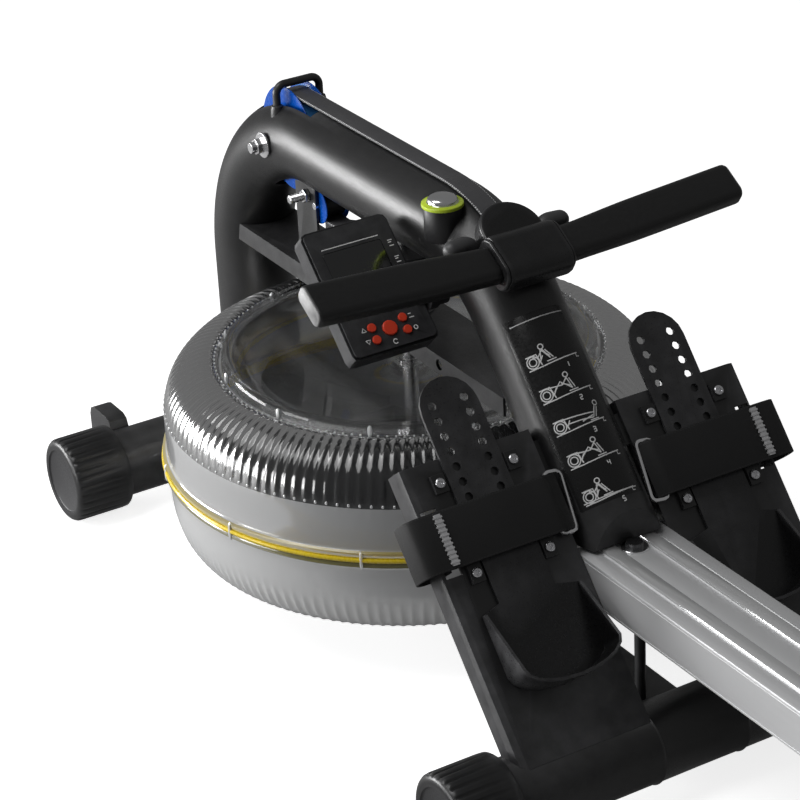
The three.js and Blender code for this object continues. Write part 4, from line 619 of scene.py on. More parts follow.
# The lower lip is the gasket's yellow seen through the plastic, darkened by painted shade under the flange.
lower_lip_painted_shade = clear_plastic("lower_lip_painted_shade", (0.22, 0.2, 0.06), 0.15, 0.5)
gasket_rubber = finish("gasket_rubber", (0.82, 0.6, 0.015), 0.28, mottle=0.12, grain=300.0, depth=0.04,
                       coat=0.4)
TANK_AXIS = (at(0, 0, 0), (0, 0, 1))
spans = len(TANK_UPPER) - 1
kinds = ([1] * 5 + [0] * 6 + [2] * 14 + [0] * (spans - 25)) * RIBS * 8
tank_upper = add_piece("tank_upper_bowl", turned(TANK_UPPER, *TANK_AXIS, RIBS * 8, flute),
                       [upper_clear, lip_gold, flute_painted_dark], "frame", 40, kinds)
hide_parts("tank_upper")
spans = len(TANK_LOWER) - 1
# Faces of kind 2 are the bowl's floor, in the near-black painted shade.
kinds = ([0] * (spans - 30) + [2] * 13 + [0] * 12 + [1] * 5) * RIBS * 6
tank_lower = add_piece("tank_lower_bowl", turned(TANK_LOWER[::-1], *TANK_AXIS, RIBS * 6, lower_rib),
                       [lower_pale, lower_lip_painted_shade, bowl_floor_painted_shade], "frame", 40, kinds)
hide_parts("tank_lower")
ring = turned(GASKET, *TANK_AXIS, 192)
gasket = add_piece("flange_gasket", ring, gasket_rubber, "frame")
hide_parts("tank_gasket")
lid = add_piece("tank_lid_dish", turned(LID, *TANK_AXIS, 240), lid_clear, "frame", 40)
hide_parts("tank_lid")

# Clips round the tank. Small clear clips pinch the flange and the lid's seam at even steps, and pale beads
# close the ends of the flutes; the beads' paleness is a painted highlight on the flutes' rounded ends.
clip_clear_and_glint = clear_plastic("clip_clear_and_glint", (0.92, 0.93, 0.94), 0.12, 0.4)
FIRST_CLIP = math.radians(227.4)


def rounded_bar(length, wide, high, soft=0.4):
    """A small bar with rounded ends, along X, in mm."""
    rows = []
    for s in np.linspace(-1, 1, 9):
        shrink = (1 - abs(s) ** 4) ** 0.5 * (1 - soft) + soft * (1 - abs(s) ** 2) ** 0.5
        rows.append([])
        for a in circle(10):
            c, d = math.cos(a), math.sin(a)
            m = (abs(c) ** 4 + abs(d) ** 4) ** -0.25 * max(shrink, 0.05)
            rows[-1].append(Vector((s * length / 2, c * m * wide / 2, d * m * high / 2)))
    return skin(rows)


# The flute beads take the pale clip plastic, a painted highlight on each flute's rounded end.
for name, count, radius, height, length, wide, high, start in (
        ("flange_clips", 11, 264.6, 0.0, 21.0, 3.6, 4.6, FIRST_CLIP),
        ("flute_feet", RIBS, 259.4, 57.5, 3.4, 2.6, 2.2, 0.0),
        ("flute_heads", RIBS, 203.0, 105.3, 2.2, 2.0, 1.6, 0.0),
        ("seam_clips", 12, 197.6, 107.5, 13.0, 4.6, 3.6, FIRST_CLIP)):
    bar, faces = rounded_bar(length, wide, high)
    around = []
    for angle in circle(count):
        c, s = math.cos(start + angle), math.sin(start + angle)
        around.append(([at(0, 0, 0) + (Vector((c, s, 0)) * (radius + p.z) + Vector((-s, c, 0)) * p.y
                                       + Vector((0, 0, height + p.x))) * MM for p in bar], faces))
    add_piece(name, joined(*around), clip_clear_and_glint, "frame")

# Drive inside the tank. A polished shaft with a moulded paddle wheel, a bearing at each end, and above the
# beam the drum that the belt winds onto.
polished_steel = finish("polished_steel", (0.8, 0.8, 0.81), 0.2, 1.0, mottle=0.06, grain=400.0, depth=0.006)
moulded_black = finish("moulded_black", (0.012, 0.012, 0.013), 0.45, mottle=0.2, grain=500.0, depth=0.08)
impeller_plastic = finish("impeller_plastic", (0.02, 0.02, 0.0215), 0.4, mottle=0.12, grain=300.0)
dress("drive_shaft", polished_steel, edge=0.0)
dress("bearing_upper", polished_steel)
dress("bearing_lower", moulded_black)
dress("impeller", impeller_plastic, edge=0.0012)
dress("drive_drum", moulded_black)

# Pulleys. Bright blue moulded wheels: the large one in the tube's slot on a through bolt with a washer,
# the small idler between two bracket cheeks.
# The wheels' pale blue edges are a painted highlight along their rims.
pulley_blue = finish("pulley_blue", (0.001, 0.075, 0.42), 0.24, grain=300.0, depth=0.02,
                     wear_and_glint_edge_colour=(0.12, 0.45, 0.9), coat=0.08, specular=0.2)
IDLER_Y, IDLER_Z = 155, 215
PULLEY = [
    (6.4, -14.8), (11, -14.8), (12, -14.4), (13, -13.6), (20, -13.4), (22, -13.8), (24, -14.6),
    (40, -14.8), (55, -14.8), (57.0, -14.5), (57.5, -13.8), (57.1, -12.9), (55, -12.6), (50.6, -12.2),
    (49.5, -11.4)]
PULLEY += [(r, -x) for r, x in PULLEY[::-1]] + PULLEY[:1]
IDLER = [
    (4.4, -13.9), (19.6, -13.9), (20, -13.5), (20, -12.9), (19.6, -12.5), (14.6, -12.2), (14, -11.7)]
IDLER += [(r, -x) for r, x in IDLER[::-1]] + IDLER[:1]
wheel = turned(PULLEY, at(0, AXLE_Y, AXLE_Z), (1, 0, 0), 128)
top_pulley = add_piece("top_pulley_wheel", wheel, pulley_blue, "pulley")
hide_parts("top_pulley")
wheel = turned(IDLER, at(0, IDLER_Y, IDLER_Z), (1, 0, 0), 96)
kinds = ([0] * 5 + [1] * 3 + [0] * 6) * 96
idler = add_piece("idler_wheel", wheel, [pulley_blue, moulded_black], "idler", kinds=kinds)
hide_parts("idler_pulley")
THREAD = [(x, 4.7 if k % 2 else 4.15) for k, x in enumerate(np.arange(24.6, 40.6, 0.75))]
STUD = [(18.3, 4.6), *THREAD, (40.9, 3.6)]
STUD_NUT = [(18.3, 6.8), (18.8, 7.6), (23.6, 7.6), (24.5, 6.8)]
for where, side in SIDES:
    stud = [swept([(side * x, 168, 224) for x, _ in profile], [r for _, r in profile], sides)
            for profile, sides in ((STUD, 24), (STUD_NUT, 6))]
    add_piece(f"cheek_stud_{where}", joined(*stud), polished_steel, "frame", 20)
dress("pulley_bolt", polished_steel, edge=0.0004)
dress("idler_pin", polished_steel, edge=0.0004)

# Belt. Flat black webbing with a lighter stitched edge runs over the elbow and the pulley, under the idler
# and onto the drum; near the handle it is doubled, stiff and glossy.
BELT_WIDE, BELT_THICK = 24.0, 2.4
PULLEY_WRAP_R, IDLER_WRAP_R, DRUM_WRAP_R = 51.0, 14 + BELT_THICK / 2 + 0.3, 36 + BELT_THICK / 2 + 0.3
IDLER_LEAVE_Y, DRUM_Z = 131, 204
STITCH_PITCH = 3.2


def belt_path():
    """Frames along the belt: place, direction across, direction out, in mm."""
    rows, sideways = [], Vector((1, 0, 0))

    def add(place, tangent, across):
        rows.append((Vector(place), across.normalized(), tangent.cross(across).normalized()))

    def arc(y, z, r, start, end):
        steps = max(2, int(math.ceil((end - start) / math.radians(3))))
        for k in range(steps + 1):
            a = start + (end - start) * k / steps
            tangent = Vector((0, math.cos(a), -math.sin(a)))
            add((0, y + r * math.sin(a), z + r * math.cos(a)), tangent, sideways)

    arc(ELBOW_Y, TUBE_TOP - ELBOW_R, ELBOW_R + TUBE_R + 1.5 + BELT_THICK / 2, -math.radians(25), 0.0)
    for share in np.linspace(0.06, 0.96, 18):
        add((0, ELBOW_Y + (AXLE_Y - ELBOW_Y) * share, 327.3 - 0.8 * share), Vector((0, 1, 0)), sideways)
    back, drop = AXLE_Y - IDLER_Y, AXLE_Z - IDLER_Z
    leave = math.atan2(back, drop) + math.acos((IDLER_WRAP_R - PULLEY_WRAP_R) / math.hypot(back, drop))
    arc(AXLE_Y, AXLE_Z, PULLEY_WRAP_R, 0.0, leave)
    arc(IDLER_Y, IDLER_Z, IDLER_WRAP_R, leave, math.pi)
    start = Vector((0, IDLER_LEAVE_Y, IDLER_Z - IDLER_WRAP_R))
    touch = math.asin(DRUM_WRAP_R / IDLER_LEAVE_Y)
    end = Vector((DRUM_WRAP_R * math.cos(touch), DRUM_WRAP_R * math.sin(touch), DRUM_Z))
    onto = (end - start).normalized()
    for k in range(14):
        share = k / 14
        tangent = (Vector((0, -1, 0)) * (1 - share) + onto * share).normalized()
        add(start.lerp(end, share), tangent, Matrix.Rotation(math.pi / 2 * share, 3, tangent) @ sideways)
    sweep = math.radians(150) + touch
    for k in range(51):
        a = touch - sweep * k / 50
        place = (DRUM_WRAP_R * math.cos(a), DRUM_WRAP_R * math.sin(a), DRUM_Z)
        add(place, Vector((math.sin(a), -math.cos(a), 0)), Vector((0, 0, -1)))
    return rows


def flat_section(wide, thick, soft, steps=3):
    """A flat band's section with rounded edges."""
    points = []
    for sx, sy in ((1, 1), (-1, 1), (-1, -1), (1, -1)):
        arc = [(sx * (wide / 2 - soft + soft * math.cos(a)), sy * (thick / 2 - soft + soft * math.sin(a)))
               for a in (math.pi / 2 * k / steps for k in range(steps + 1))]
        points += arc if sx * sy > 0 else arc[::-1]
    return points


def add_ribbon(name, rows, section, material):
    """A section (across, out) in mm carried along rows of frames, with its breadth and length as UVs."""
    band = skin([[at(*(place + across * a + out * b)) for a, b in section] for place, across, out in rows])
    piece = add_piece(name, flipped(band), material, "frame", 50)
    run = [0.0]
    for before, after in zip(rows, rows[1:]):
        run.append(run[-1] + (after[0] - before[0]).length)
    layer = piece.data.uv_layers.new(name="along")
    for corner, loop in zip(layer.data, piece.data.loops):
        row, j = divmod(loop.vertex_index, len(section))
        corner.uv = (section[j][0], run[row])
    return piece


def webbing(name, colour, light, edge_at, edge_wide, roughness, gloss_until=None):
    """Woven band: fine ribs across, a lighter line of stitches along each edge, a glossy stretch if asked."""
    material, tree, shader = new_material(name, {})
    uv = node(tree, "UVMap", uv_map="along").outputs["UV"]
    parts = node(tree, "SeparateXYZ", {0: uv}).outputs
    line = maths(tree, "COMPARE", maths(tree, "ABSOLUTE", parts["X"]), edge_at, edge_wide)
    beat = maths(tree, "SINE", maths(tree, "MULTIPLY", parts["Y"], 2 * math.pi / STITCH_PITCH))
    stitch = maths(tree, "MULTIPLY", line, maths(tree, "GREATER_THAN", beat, -0.35))
    base = laid_over(tree, stitch, mottled(tree, colour, 40.0, 0.35), light)
    tree.links.new(base, shader.inputs["Base Color"])
    weft = node(tree, "TexWave", {"Vector": uv, "Scale": 0.32, "Distortion": 0.6}, bands_direction="Y")
    bumped(tree, shader, weft.outputs["Fac"], 0.35, 0.0004)
    if gloss_until is None:
        fine = placed(tree, grain_group, {"Scale": 900.0})
        uneven_gloss(tree, shader, fine, roughness - 0.1, roughness + 0.1)
    else:
        uneven_gloss(tree, shader, parts["Y"], 0.22, roughness, gloss_until - 6, gloss_until + 6)
    return material


belt_webbing = webbing("belt_webbing", (0.075, 0.075, 0.079), (0.7, 0.7, 0.71), 11.3, 0.55, 0.5,
                       gloss_until=86.0)
belt = add_ribbon("belt_band", belt_path(), flat_section(BELT_WIDE, BELT_THICK, 0.9), belt_webbing)
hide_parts("belt")

# Rail. Extruded aluminium, satin anodised, with two raised polished tracks for the seat rollers and a
# flanged bolt through its front end.
RAIL_STATIONS = [-372.0, -800.0, -1200.0, -1573.0]
RAIL_HALF_SECTION = [
    (49.0, 7.2), (49.0, 9.0), (48.6, 9.4), (49.0, 9.8), (49.0, 46.4), (48.6, 46.8), (48.6, 47.4),
    (49.0, 47.8), (49.0, 49.2), (48.6, 50.3), (47.6, 50.8), (33.4, 50.8), (32.8, 50.3), (31.4, 50.3),
    (30.8, 50.8), (30.2, 51.4), (29.6, 53.0), (28.2, 53.8), (16.8, 53.8), (15.4, 53.0), (14.8, 51.4),
    (14.2, 50.8), (13.4, 50.4), (12.0, 50.4), (11.2, 50.8)]


def brushed(name, colour, roughness, streak, depth):
    """Aluminium drawn along the rail: long fine streaks in gloss and tone."""
    material, tree, shader = new_material(name, {"Metallic": 0.5})
    place = node(tree, "TexCoord").outputs["Object"]
    along = node(tree, "Mapping", {"Vector": place, "Scale": (900.0, 3.0, 900.0)}).outputs["Vector"]
    streaks = node(tree, "TexNoise", {"Vector": along, "Scale": 1.0, "Detail": 3.0}).outputs["Fac"]
    uneven_gloss(tree, shader, streaks, roughness - streak, roughness + streak)
    tree.links.new(mottled(tree, colour, 5.0, 0.05), shader.inputs["Base Color"])
    bumped(tree, shader, streaks, depth, 0.0005)
    return material


rail_aluminium = brushed("rail_aluminium", (0.84, 0.845, 0.855), 0.42, 0.08, 0.08)
track_aluminium = brushed("track_aluminium", (0.8, 0.805, 0.81), 0.2, 0.06, 0.04)
section = RAIL_HALF_SECTION + [(-x, z) for x, z in reversed(RAIL_HALF_SECTION)] + [(-47.6, 5.8), (47.6, 5.8)]
kinds = [int(min(za, zb) > 51.2 and 14 < abs(xa) < 31)
         for (xa, za), (_, zb) in zip(section, section[1:] + section[:1])] * (len(RAIL_STATIONS) - 1) + [0, 0]
extrusion = skin([[at(x, y, z) for x, z in section] for y in RAIL_STATIONS])
rail = add_piece("rail_extrusion", extrusion, [rail_aluminium, track_aluminium], "frame",
                 32, kinds)
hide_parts("rail")
dark_steel = finish("dark_steel", (0.12, 0.12, 0.125), 0.3, 0.9, grain=300.0)


def screw_head(place, axis, rings, sides, shape=None):
    """Rows round a screw's axis, from (radius, height) in mm; the shape changes the radius with the angle."""
    u = axis.orthogonal().normalized()
    v = axis.cross(u)
    return [[place + (u * math.cos(a) + v * math.sin(a)) * (shape(r, a) if shape else r) * MM + axis * h * MM
             for a in circle(sides)] for r, h in rings]


def hexagon(r, a):
    return r / max(math.cos((a % (math.pi / 3)) - math.pi / 6), 0.5) * math.cos(math.pi / 6)


BOLT_SIDES = 36
WASHER = [(13.5, 0.0), (13.5, 1.28), (13.0, 1.6), (5.52, 1.6)]
BOLT_FLATS, BOLT_CROWN = [(9.2, 1.6), (9.2, 5.864)], [(7.912, 6.8), (4.6, 6.644), (0.2, 6.436)]
bolt_at, upright = at(0, -402, 50.9), Vector((0, 0, 1))
washer = screw_head(bolt_at, upright, WASHER, BOLT_SIDES)
head = screw_head(bolt_at, upright, BOLT_FLATS, BOLT_SIDES, hexagon)
head += screw_head(bolt_at, upright, BOLT_CROWN, BOLT_SIDES)
kinds = [1] * (len(washer) - 1) * BOLT_SIDES + [0] * (len(head) - 1) * BOLT_SIDES
add_piece("rail_front_bolt", joined(skin(washer, False), skin(head, False)), [dark_steel, polished_steel],
          "frame", 30, kinds)

# Foot rests. Bent black plates screwed to the frame; on each a moulded footbed with a heel cup slides
# under two pairs of clips and is set by its peg holes.
SLOPE_OUT = Vector((0, -math.sin(SLOPE), math.cos(SLOPE)))
SLOPE_DOWN = Vector((0, -math.cos(SLOPE), -math.sin(SLOPE)))
PAN_SCREW = [(5.2, 0.0), (5.2, 0.84), (4.68, 1.728), (3.432, 2.28), (2.184, 2.4), (1.56, 1.488), (0.104, 1.2)]
plate_paint = finish("plate_paint", (0.006, 0.006, 0.0063), 0.4, mottle=0.14, grain=650.0, depth=0.02,
                     wear_and_glint_edge_colour=(0.1, 0.1, 0.105), specular=0.65)
footbed_plastic = finish("footbed_plastic", (0.005, 0.005, 0.0055), 0.33, mottle=0.2, grain=420.0, depth=0.03,
                         wear_and_glint_edge_colour=(0.12, 0.12, 0.125))
screw_steel = finish("screw_steel", (0.66, 0.66, 0.68), 0.24, 0.95, mottle=0.1, grain=300.0, depth=0.04)


def cross_recess(r, a):
    return r * (1.0 + 0.45 * math.cos(4 * a)) if 1.3 < r < 2.6 else r


for where, side in SIDES:
    dress(f"foot_plate_{where}", plate_paint, edge=0.0008)
    dress(f"footbed_{where}", footbed_plastic, edge=0.0007)
    places = [at(*on_slope(side * x, s, 4.75)) for x in (78.9, 159.7) for s in (23.1, 112.4)]
    screws = [skin(screw_head(p, SLOPE_OUT, PAN_SCREW, 24, cross_recess), False) for p in places]
    add_piece(f"plate_screws_{where}", joined(*screws), screw_steel, "frame", 40)

# Foot straps. Black webbing from a slot in the plate's outer edge over the foot to a wire ring, through
# which its end folds back; a toothed metal slide lies across it near the slot.
strap_webbing = webbing("strap_webbing", (0.005, 0.005, 0.0053), (0.02, 0.02, 0.021), 26.5, 0.5, 0.62)
slide_plate = finish("slide_plate", (0.72, 0.72, 0.73), 0.35, 0.35, mottle=0.12, grain=300.0, depth=0.01)
STRAP_MIDDLE, STRAP_WIDE, STRAP_THICK = 76.0, 56.0, 2.2
STRAP_LINE = [
    (179, -6), (181, -20), (187, -30), (199, -31), (211, -17), (211, 3), (202, 11), (176, 12.5),
    (150, 13), (120, 13.5), (90, 12.4), (76, 12.4), (68, 12.7), (61.5, 12.4), (54, 9.6), (47.5, 7.4)]
SLIDE_X, SLIDE_H = 181.0, 14.5
SLIDE_BARS = [(STRAP_MIDDLE, 50.0, 7.0, 1.6)] + [(54.0 + 4.4 * k, 1.7, 9.0, 2.6) for k in range(11)]


def smooth_line(line, steps=4):
    """A line through the given points, rounded between them."""
    pts, out = [Vector((*p, 0)) for p in line], []
    for i in range(len(pts) - 1):
        a, b, c, d = pts[max(i - 1, 0)], pts[i], pts[i + 1], pts[min(i + 2, len(pts) - 1)]
        for t in (k / steps for k in range(steps)):
            out.append(0.5 * ((2 * b) + (c - a) * t + (2 * a - 5 * b + 4 * c - d) * t * t
                              + (3 * b - a - 3 * c + d) * t ** 3))
    return out + [pts[-1]]


for where, side in SIDES:
    line, rows = smooth_line(STRAP_LINE), []
    for i, p in enumerate(line):
        along = (line[min(i + 1, len(line) - 1)] - line[max(i - 1, 0)]).normalized()
        tangent = Vector((side * along.x, 0, 0)) + SLOPE_OUT * along.y
        out = tangent.cross(SLOPE_DOWN).normalized()
        rows.append((on_slope(side * p.x, STRAP_MIDDLE, p.y), SLOPE_DOWN, out))
    strap = add_ribbon(f"strap_band_{where}", rows, flat_section(STRAP_WIDE, STRAP_THICK, 0.8), strap_webbing)
    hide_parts(f"strap_{where}")
    dress(f"strap_ring_{where}", polished_steel, edge=0.0)
    bars = []
    for s, long, wide, thick in SLIDE_BARS:
        corners = [(SLIDE_X + a * wide / 2, s + c * long / 2, SLIDE_H + b * thick / 2)
                   for c in (-1, 1) for a, b in ((-1, -1), (1, -1), (1, 1), (-1, 1))]
        bars.append(([at(*on_slope(side * x, down, h)) for x, down, h in corners], BOX_SIDES))
    slide = joined(*bars) if side < 0 else flipped(joined(*bars))
    add_piece(f"strap_slide_{where}", slide, slide_plate, "frame", 30)

# Elbow plug. A chrome dome on a lime ring sits on a short black boss at the elbow.
lime_plastic = finish("lime_plastic", (0.6, 0.78, 0.04), 0.25, mottle=0.1, grain=300.0, depth=0.03, coat=0.4)
plug_chrome = finish("plug_chrome", (0.72, 0.72, 0.73), 0.18, 1.0, mottle=0.05, grain=60.0, depth=0.001)
PLUG = [
    (0.1, 285), (18.4, 285), (19, 286), (19, 317.4), (18.6, 318), (19.8, 318.1), (20.8, 318.7), (21, 320),
    (20.7, 321.6), (19.6, 322.4), (15.6, 322.5), (15, 322.8), (14.9, 324.6), (14.2, 326.4), (12.6, 327.7),
    (9.6, 328.7), (5.6, 329.3), (0.1, 329.5)]
kinds = ([0] * 5 + [1] * 5 + [2] * 7) * 72
plug = add_piece("elbow_plug_dome", turned(PLUG, at(-33.7, -136, 0), (0, 0, 1), 72),
                 [moulded_black, lime_plastic, plug_chrome], "frame", kinds=kinds)
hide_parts("elbow_plug")

# Console. A black slab with a dark display, five soft red buttons and a clamp knob on its right. Its keys
# carry plain printed signs.
console_plastic = finish("console_plastic", (0.003, 0.003, 0.0034), 0.38, grain=600.0, depth=0.03,
                         wear_and_glint_edge_colour=(0.08, 0.08, 0.085))
button_red = finish("button_red", (0.86, 0.065, 0.025), 0.4, mottle=0.08, grain=500.0)
screen_glass = finish("screen_glass", (0.006, 0.0065, 0.007), 0.1, mottle=0.05, grain=200.0, depth=0.01,
                      coat=0.8)
print_white = finish("print_white", (0.95, 0.95, 0.95), 0.5, mottle=0.04, grain=500.0, depth=0.02)
dress("console_body", console_plastic, edge=0.0008)
dress("console_arm", console_plastic)
dress("console_screen", screen_glass, edge=0.0003)
for piece in ("centre", "upper_left", "lower_left", "upper_right", "lower_right"):
    dress(f"button_{piece}", button_red, edge=0.001)


def strokes(lines, width, place):
    """Flat printed lines: each run of (across, down) points becomes a thin ribbon on a surface."""
    ribbons = []
    for line in lines:
        fine, points = [], []
        for (xa, ya), (xb, yb) in zip(line, line[1:]):
            steps = max(1, int(math.hypot(xb - xa, yb - ya) / 4.0))
            fine += [(xa + (xb - xa) * k / steps, ya + (yb - ya) * k / steps) for k in range(steps)]
        fine.append(line[-1])
        for i, (x, y) in enumerate(fine):
            (xa, ya), (xb, yb) = fine[max(i - 1, 0)], fine[min(i + 1, len(fine) - 1)]
            long = math.hypot(xb - xa, yb - ya) or 1.0
            nx, ny = -(yb - ya) / long * width / 2, (xb - xa) / long * width / 2
            points += [place(x + nx, y + ny), place(x - nx, y - ny)]
        ribbons.append((points, [(a, a + 1, a + 3, a + 2) for a in range(0, 2 * len(fine) - 2, 2)]))
    return joined(*ribbons)


def arc_line(x, y, r, start=0.0, end=360.0, steps=14):
    turns = [math.radians(start + (end - start) * k / steps) for k in range(steps + 1)]
    return [(x + r * math.cos(a), y + r * math.sin(a)) for a in turns]


def on_console(x, s):
    """A point just above the console's face: across, and down its slope from the upper edge, in mm."""
    return at(x, -60 - (s + 0.15) * math.sqrt(0.5), 292 - (s - 0.15) * math.sqrt(0.5))


marks = [[(-137, s), (-73, s)] for s in (22, 76)] + [[(-66, s), (-61, s)] for s in (30, 36, 48, 54, 66)]
marks += [[(-66, s + 2.2), (-62.5, s + 2.2)] for s in (30, 48, 66)]
marks += [[(-133, foot), (-130.5, tip), (-128, foot), (-133, foot)]
          for foot, tip in ((113.5, 109.5), (122.5, 126.5))]
marks += [arc_line(-103, 131, 2.4, 40, 330), [(-79, 108), (-75.5, 108)], [(-79, 112), (-73.5, 112)],
          arc_line(-76.5, 123, 2.0)]
add_piece("console_marks", strokes(marks, 1.0, on_console), print_white, "console")

# Rowing label. A thin black film on the down tube, printed in white with five plain figures that show the
# stroke and are numbered in turn.
label_film = finish("label_film", (0.0035, 0.0035, 0.0038), 0.3, mottle=0.1, grain=400.0, depth=0.02)
FILM_ROWS = (17, 18, 60, 110, 160, 211, 212)
FILM_COLUMNS = np.linspace(-45, 34, 33)
DIGITS = {1: "cf", 2: "acdeg", 3: "acdfg", 4: "bcdf", 5: "abdfg"}
DIGIT_BARS = {"a": ((0, 0), (1, 0)), "b": ((0, 0), (0, 0.5)), "c": ((1, 0), (1, 0.5)),
              "d": ((0, 0.5), (1, 0.5)), "e": ((0, 0.5), (0, 1)), "f": ((1, 0.5), (1, 1)),
              "g": ((0, 1), (1, 1))}


def on_tube(across, down, lift=0.5):
    """A point on the down tube's skin: mm round from its top line, mm below the elbow's end, mm above."""
    turn = across / TUBE_R
    run = math.cos(turn) * (TUBE_R + lift)
    c, s = math.cos(SLOPE_ANGLE), math.sin(SLOPE_ANGLE)
    return at(math.sin(turn) * (TUBE_R + lift), ELBOW_Y - ELBOW_R * s - down * c - run * s,
              TUBE_TOP - ELBOW_R + ELBOW_R * c - down * s + run * c)


n = len(FILM_COLUMNS)
film = [on_tube(across, down, -0.1 if down in (17, 212) or k in (0, n - 1) else 0.3)
        for down in FILM_ROWS for k, across in enumerate(FILM_COLUMNS)]
film_faces = [(a, a + n, a + n + 1, a + 1) for i in range(6) for a in range(i * n, i * n + n - 1)]
add_piece("rowing_label_film", (film, film_faces), label_film, "frame", 60)

STROKE = [(58, -3, 24, 10.5), (92, 5, 12, 10.5), (125, 13, -26, 6.0), (159, 6, 16, 10.5), (196, -3, 24, 10.5)]
figures = []
for number, (middle, seat_at, lean, reach) in enumerate(STROKE, 1):
    lean = math.radians(lean)
    way_x, way_y = -math.sin(lean), -math.cos(lean)
    hip_x, hip_y, foot_x, foot_y = seat_at, 6.0, -11.5, 4.5
    neck_x, neck_y = hip_x + 11 * way_x, hip_y + 11 * way_y
    gap_x, gap_y = foot_x - hip_x, foot_y - hip_y
    gap = math.hypot(gap_x, gap_y)
    bend = math.sqrt(max(12.2 ** 2 - gap * gap / 4, 0.2)) * 0.9
    knee_x = (hip_x + foot_x) / 2 + gap_y / gap * bend
    knee_y = (hip_y + foot_y) / 2 - abs(gap_x) / gap * bend
    hand = (neck_x - reach, neck_y + 5.0)
    drawn = [arc_line(-19, 4.5, 5.6), arc_line(-19, 4.5, 3.4), [(-25, 11), (-12, 11), (24, 8.5)],
             [(22, 8.6), (22, 12), (25, 12)], [(-13, 7), (-9, 1.5)], [(-24, -1.5), (-14, -1.5), (-12, 9.5)],
             [(hip_x, hip_y), (neck_x, neck_y)], [(hip_x + 2.6, hip_y), (neck_x + 2.2, neck_y + 1)],
             [(hip_x, hip_y), (knee_x, knee_y), (foot_x, foot_y)],
             [(hip_x, hip_y - 2.2), (knee_x + 0.6, knee_y + 1.8)],
             [(neck_x, neck_y), (neck_x - reach * 0.5, neck_y + 5.4), hand], [hand, (-16, -1)],
             arc_line(neck_x + 2.6 * way_x + 0.8, neck_y + 2.9 * way_y, 2.3),
             [(seat_at - 4, 8.0), (seat_at + 5, 7.6)]]
    drawn += [[(8 + u * 2.4, 14.5 + v * 4.4) for u, v in DIGIT_BARS[bar]] for bar in DIGITS[number]]
    figures += [[(x * 1.08 - 9.5, middle + 0.5 + y * 1.05) for x, y in line] for line in drawn]
figures += [[(-38, down), (20, down)] for down in (24, 206)]
add_piece("rowing_label_print", strokes(figures, 1.15, on_tube), print_white, "frame")

# Handle. A moulded hub with a flat round top; two soft flattened grips bent up and forward, each closed by a
# pale end plate; fine grooves where grip meets hub.
handle_black = finish("handle_black", (0.003, 0.003, 0.0032), 0.34, mottle=0.2, grain=500.0, depth=0.03,
                      wear_and_glint_edge_colour=(0.04, 0.04, 0.042))
grip_foam = finish("grip_foam", (0.007, 0.007, 0.0073), 0.42, mottle=0.25, grain=260.0, depth=0.08)
end_plate = finish("end_plate", (0.05, 0.05, 0.052), 0.5, mottle=0.1, grain=500.0,
                   wear_and_glint_edge_colour=(0.7, 0.7, 0.7))
TILT = math.radians(32)
GRIP_ACROSS = Vector((0, -math.cos(TILT), -math.sin(TILT)))
GRIP_UP = Vector((0, -math.sin(TILT), math.cos(TILT)))
HANDLE_Y, HANDLE_Z = -232, 290
GRIP_START, GRIP_LONG = 39.3, 199.7
HUB_HALF = [
    (0, 1.0), (31, 1.0), (33.5, 0.995), (35.3, 0.975), (35.6, 0.93), (36.2, 0.93), (36.4, 0.955),
    (37.6, 0.945), (38.6, 0.91), (39, 0.86)]
GRIP_SPOTS = [
    (39.3, 0.94), (39.8, 0.98), (41, 1.0), (50, 1.0), (62, 1.0), (78, 1.0), (95, 1.0), (115, 1.0),
    (140, 1.0), (170, 1.0), (200, 1.0), (225, 1.0), (234, 1.0), (236.4, 0.985), (237.2, 0.95),
    (237.4, 0.93), (238.4, 0.92), (239, 0.88)]


def soft_rect(wide, high, soft, steps):
    """The outline of a rectangle with rounded corners."""
    return [(cx * (wide / 2 - soft) + soft * math.cos(math.pi / 2 * (start + k / steps)),
             cy * (high / 2 - soft) + soft * math.sin(math.pi / 2 * (start + k / steps)))
            for cx, cy, start in ((1, 1, 0), (-1, 1, 1), (-1, -1, 2), (1, -1, 3)) for k in range(steps + 1)]


HUB_SPOTS = [(-x, share) for x, share in HUB_HALF[:0:-1]] + HUB_HALF
sleeve = [[at(*(Vector((x, HANDLE_Y, HANDLE_Z)) + (GRIP_ACROSS * a + GRIP_UP * b) * share))
           for a, b in soft_rect(56, 34, 14, 9)] for x, share in HUB_SPOTS]
TONGUE_R, TONGUE_OUT = 33.0, 31.0
tongue = []
for h, less in ((-14, 0.0), (2.0, 0.0), (3.4, 0.4), (4.4, 1.2), (4.9, 2.4), (5.0, 4.0)):
    r = TONGUE_R - less
    edge = [(-r, 6.0), (r, 6.0)]
    edge += [(r * math.cos(a), TONGUE_OUT + r * math.sin(a)) for a in (math.pi * k / 36 for k in range(37))]
    tongue.append([at(*(Vector((x, HANDLE_Y, HANDLE_Z)) + GRIP_UP * h - GRIP_ACROSS * d)) for x, d in edge])
JOIN = "UNION"
hub_mesh = shaped("handle_hub_moulding", skin(sleeve), (JOIN, skin(tongue)),
                  (CUT, swept(tube_line(), 51.7, 64)))
hub = ride_along("handle_hub_moulding", shade_smooth(hub_mesh, 32), handle_black, "handle")
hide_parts("handle_hub")
hub.modifiers.new("even_shading", "WEIGHTED_NORMAL").keep_sharp = True
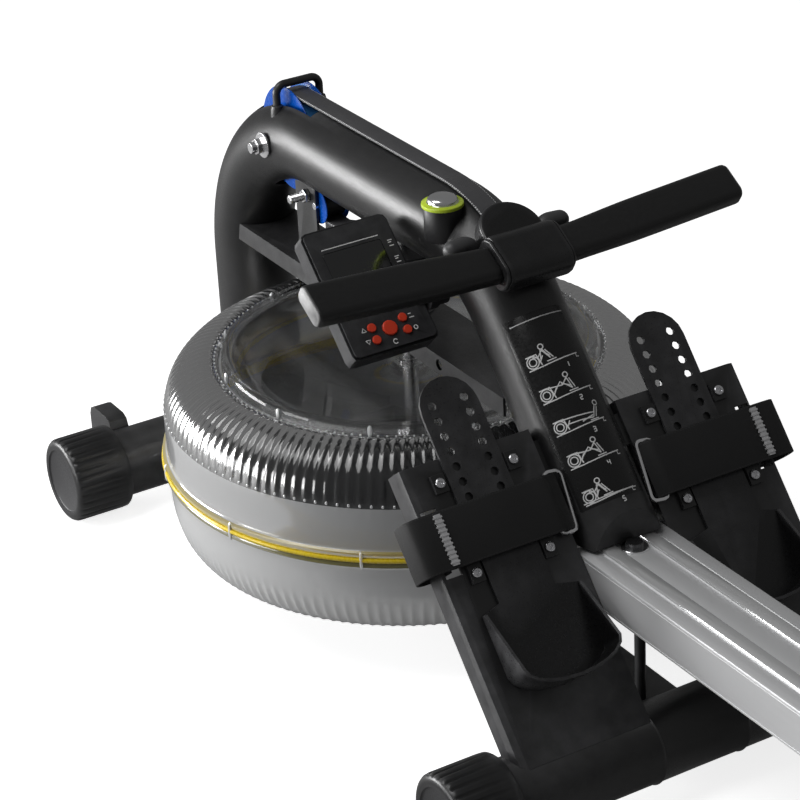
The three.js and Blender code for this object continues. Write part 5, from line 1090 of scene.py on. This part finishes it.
for where, side in SIDES:
    rows = []
    for x, share in GRIP_SPOTS:
        along = (x - GRIP_START) / GRIP_LONG
        swell = min(along / 0.45, 1.0)
        wide = 37.5 + 4.5 * swell * swell * (3 - 2 * swell)
        place = Vector((side * x, HANDLE_Y - 2.0 * along, HANDLE_Z + 14.0 * along))
        rows.append([at(*(place + GRIP_ACROSS * a * share + GRIP_UP * b * share))
                     for a, b in soft_rect(wide, 20.5, 7.5, 6)])
    n = len(rows[0])
    kinds = [0] * 15 * n + [1] * (len(rows) - 16) * n + [0, 1]
    grip = add_piece(f"handle_grip_pad_{where}", flipped(skin(rows)) if side > 0 else skin(rows),
                     [grip_foam, end_plate], "handle", 60, kinds)
    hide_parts(f"handle_grip_{where}")

# Seat. A moulded foam cushion with two shallow hollows and a rear notch, on a steel carriage whose four
# rollers run on the rail's tracks.
seat_skin = finish("seat_skin", (0.02, 0.02, 0.022), 0.5, mottle=0.2, grain=420.0, depth=0.3)
roller_plastic = finish("roller_plastic", (0.5, 0.5, 0.52), 0.35, mottle=0.1, grain=300.0)
SEAT_RINGS = [
    (0.02, 0.0), (0.45, 0.0), (0.86, 0.0), (0.93, 0.03), (0.975, 0.12), (0.995, 0.24), (0.985, 0.30),
    (0.998, 0.36), (1.0, 0.48), (0.99, 0.6), (0.965, 0.74), (0.92, 0.86), (0.86, 0.935), (0.78, 0.975),
    (0.68, 0.995), (0.57, 1.0), (0.45, 1.0), (0.33, 1.0), (0.2, 1.0), (0.08, 1.0), (0.005, 1.0)]
SEAT_Y, SEAT_LOW, SEAT_TOP = -985, 104.3, 152
SEAT_HALF_WIDE, SEAT_HALF_DEEP, HOLLOW_DEPTH, SEAT_SQUARENESS = 150, 118, 9, 3.2
rows = []
for out, up in SEAT_RINGS:
    rows.append([])
    for a in circle(120):
        c, s = math.cos(a), math.sin(a)
        m = (abs(c) ** SEAT_SQUARENESS + abs(s) ** SEAT_SQUARENESS) ** (-1 / SEAT_SQUARENESS)
        px, py = c * m * out, s * m * out
        hollow = math.exp(-((abs(px) - 0.42) / 0.34) ** 2 - 0.5 * (py / 0.34) ** 2)
        notch = 1 - 0.16 * math.exp(-(px / 0.34) ** 2) if s < 0 else 1.0
        z = SEAT_LOW + (SEAT_TOP - SEAT_LOW) * up - (HOLLOW_DEPTH * hollow if up > 0.5 else 0.0)
        rows[-1].append(at(px * SEAT_HALF_WIDE, SEAT_Y + py * SEAT_HALF_DEEP * notch, z))
cushion = add_piece("seat_cushion_pad", skin(rows), seat_skin, "seat", 60)
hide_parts("seat_cushion")
dress("seat_carriage", steel_paint, edge=0.0008)
dress("wheelset_front", roller_plastic, edge=0.0006)
dress("wheelset_rear", roller_plastic, edge=0.0006)
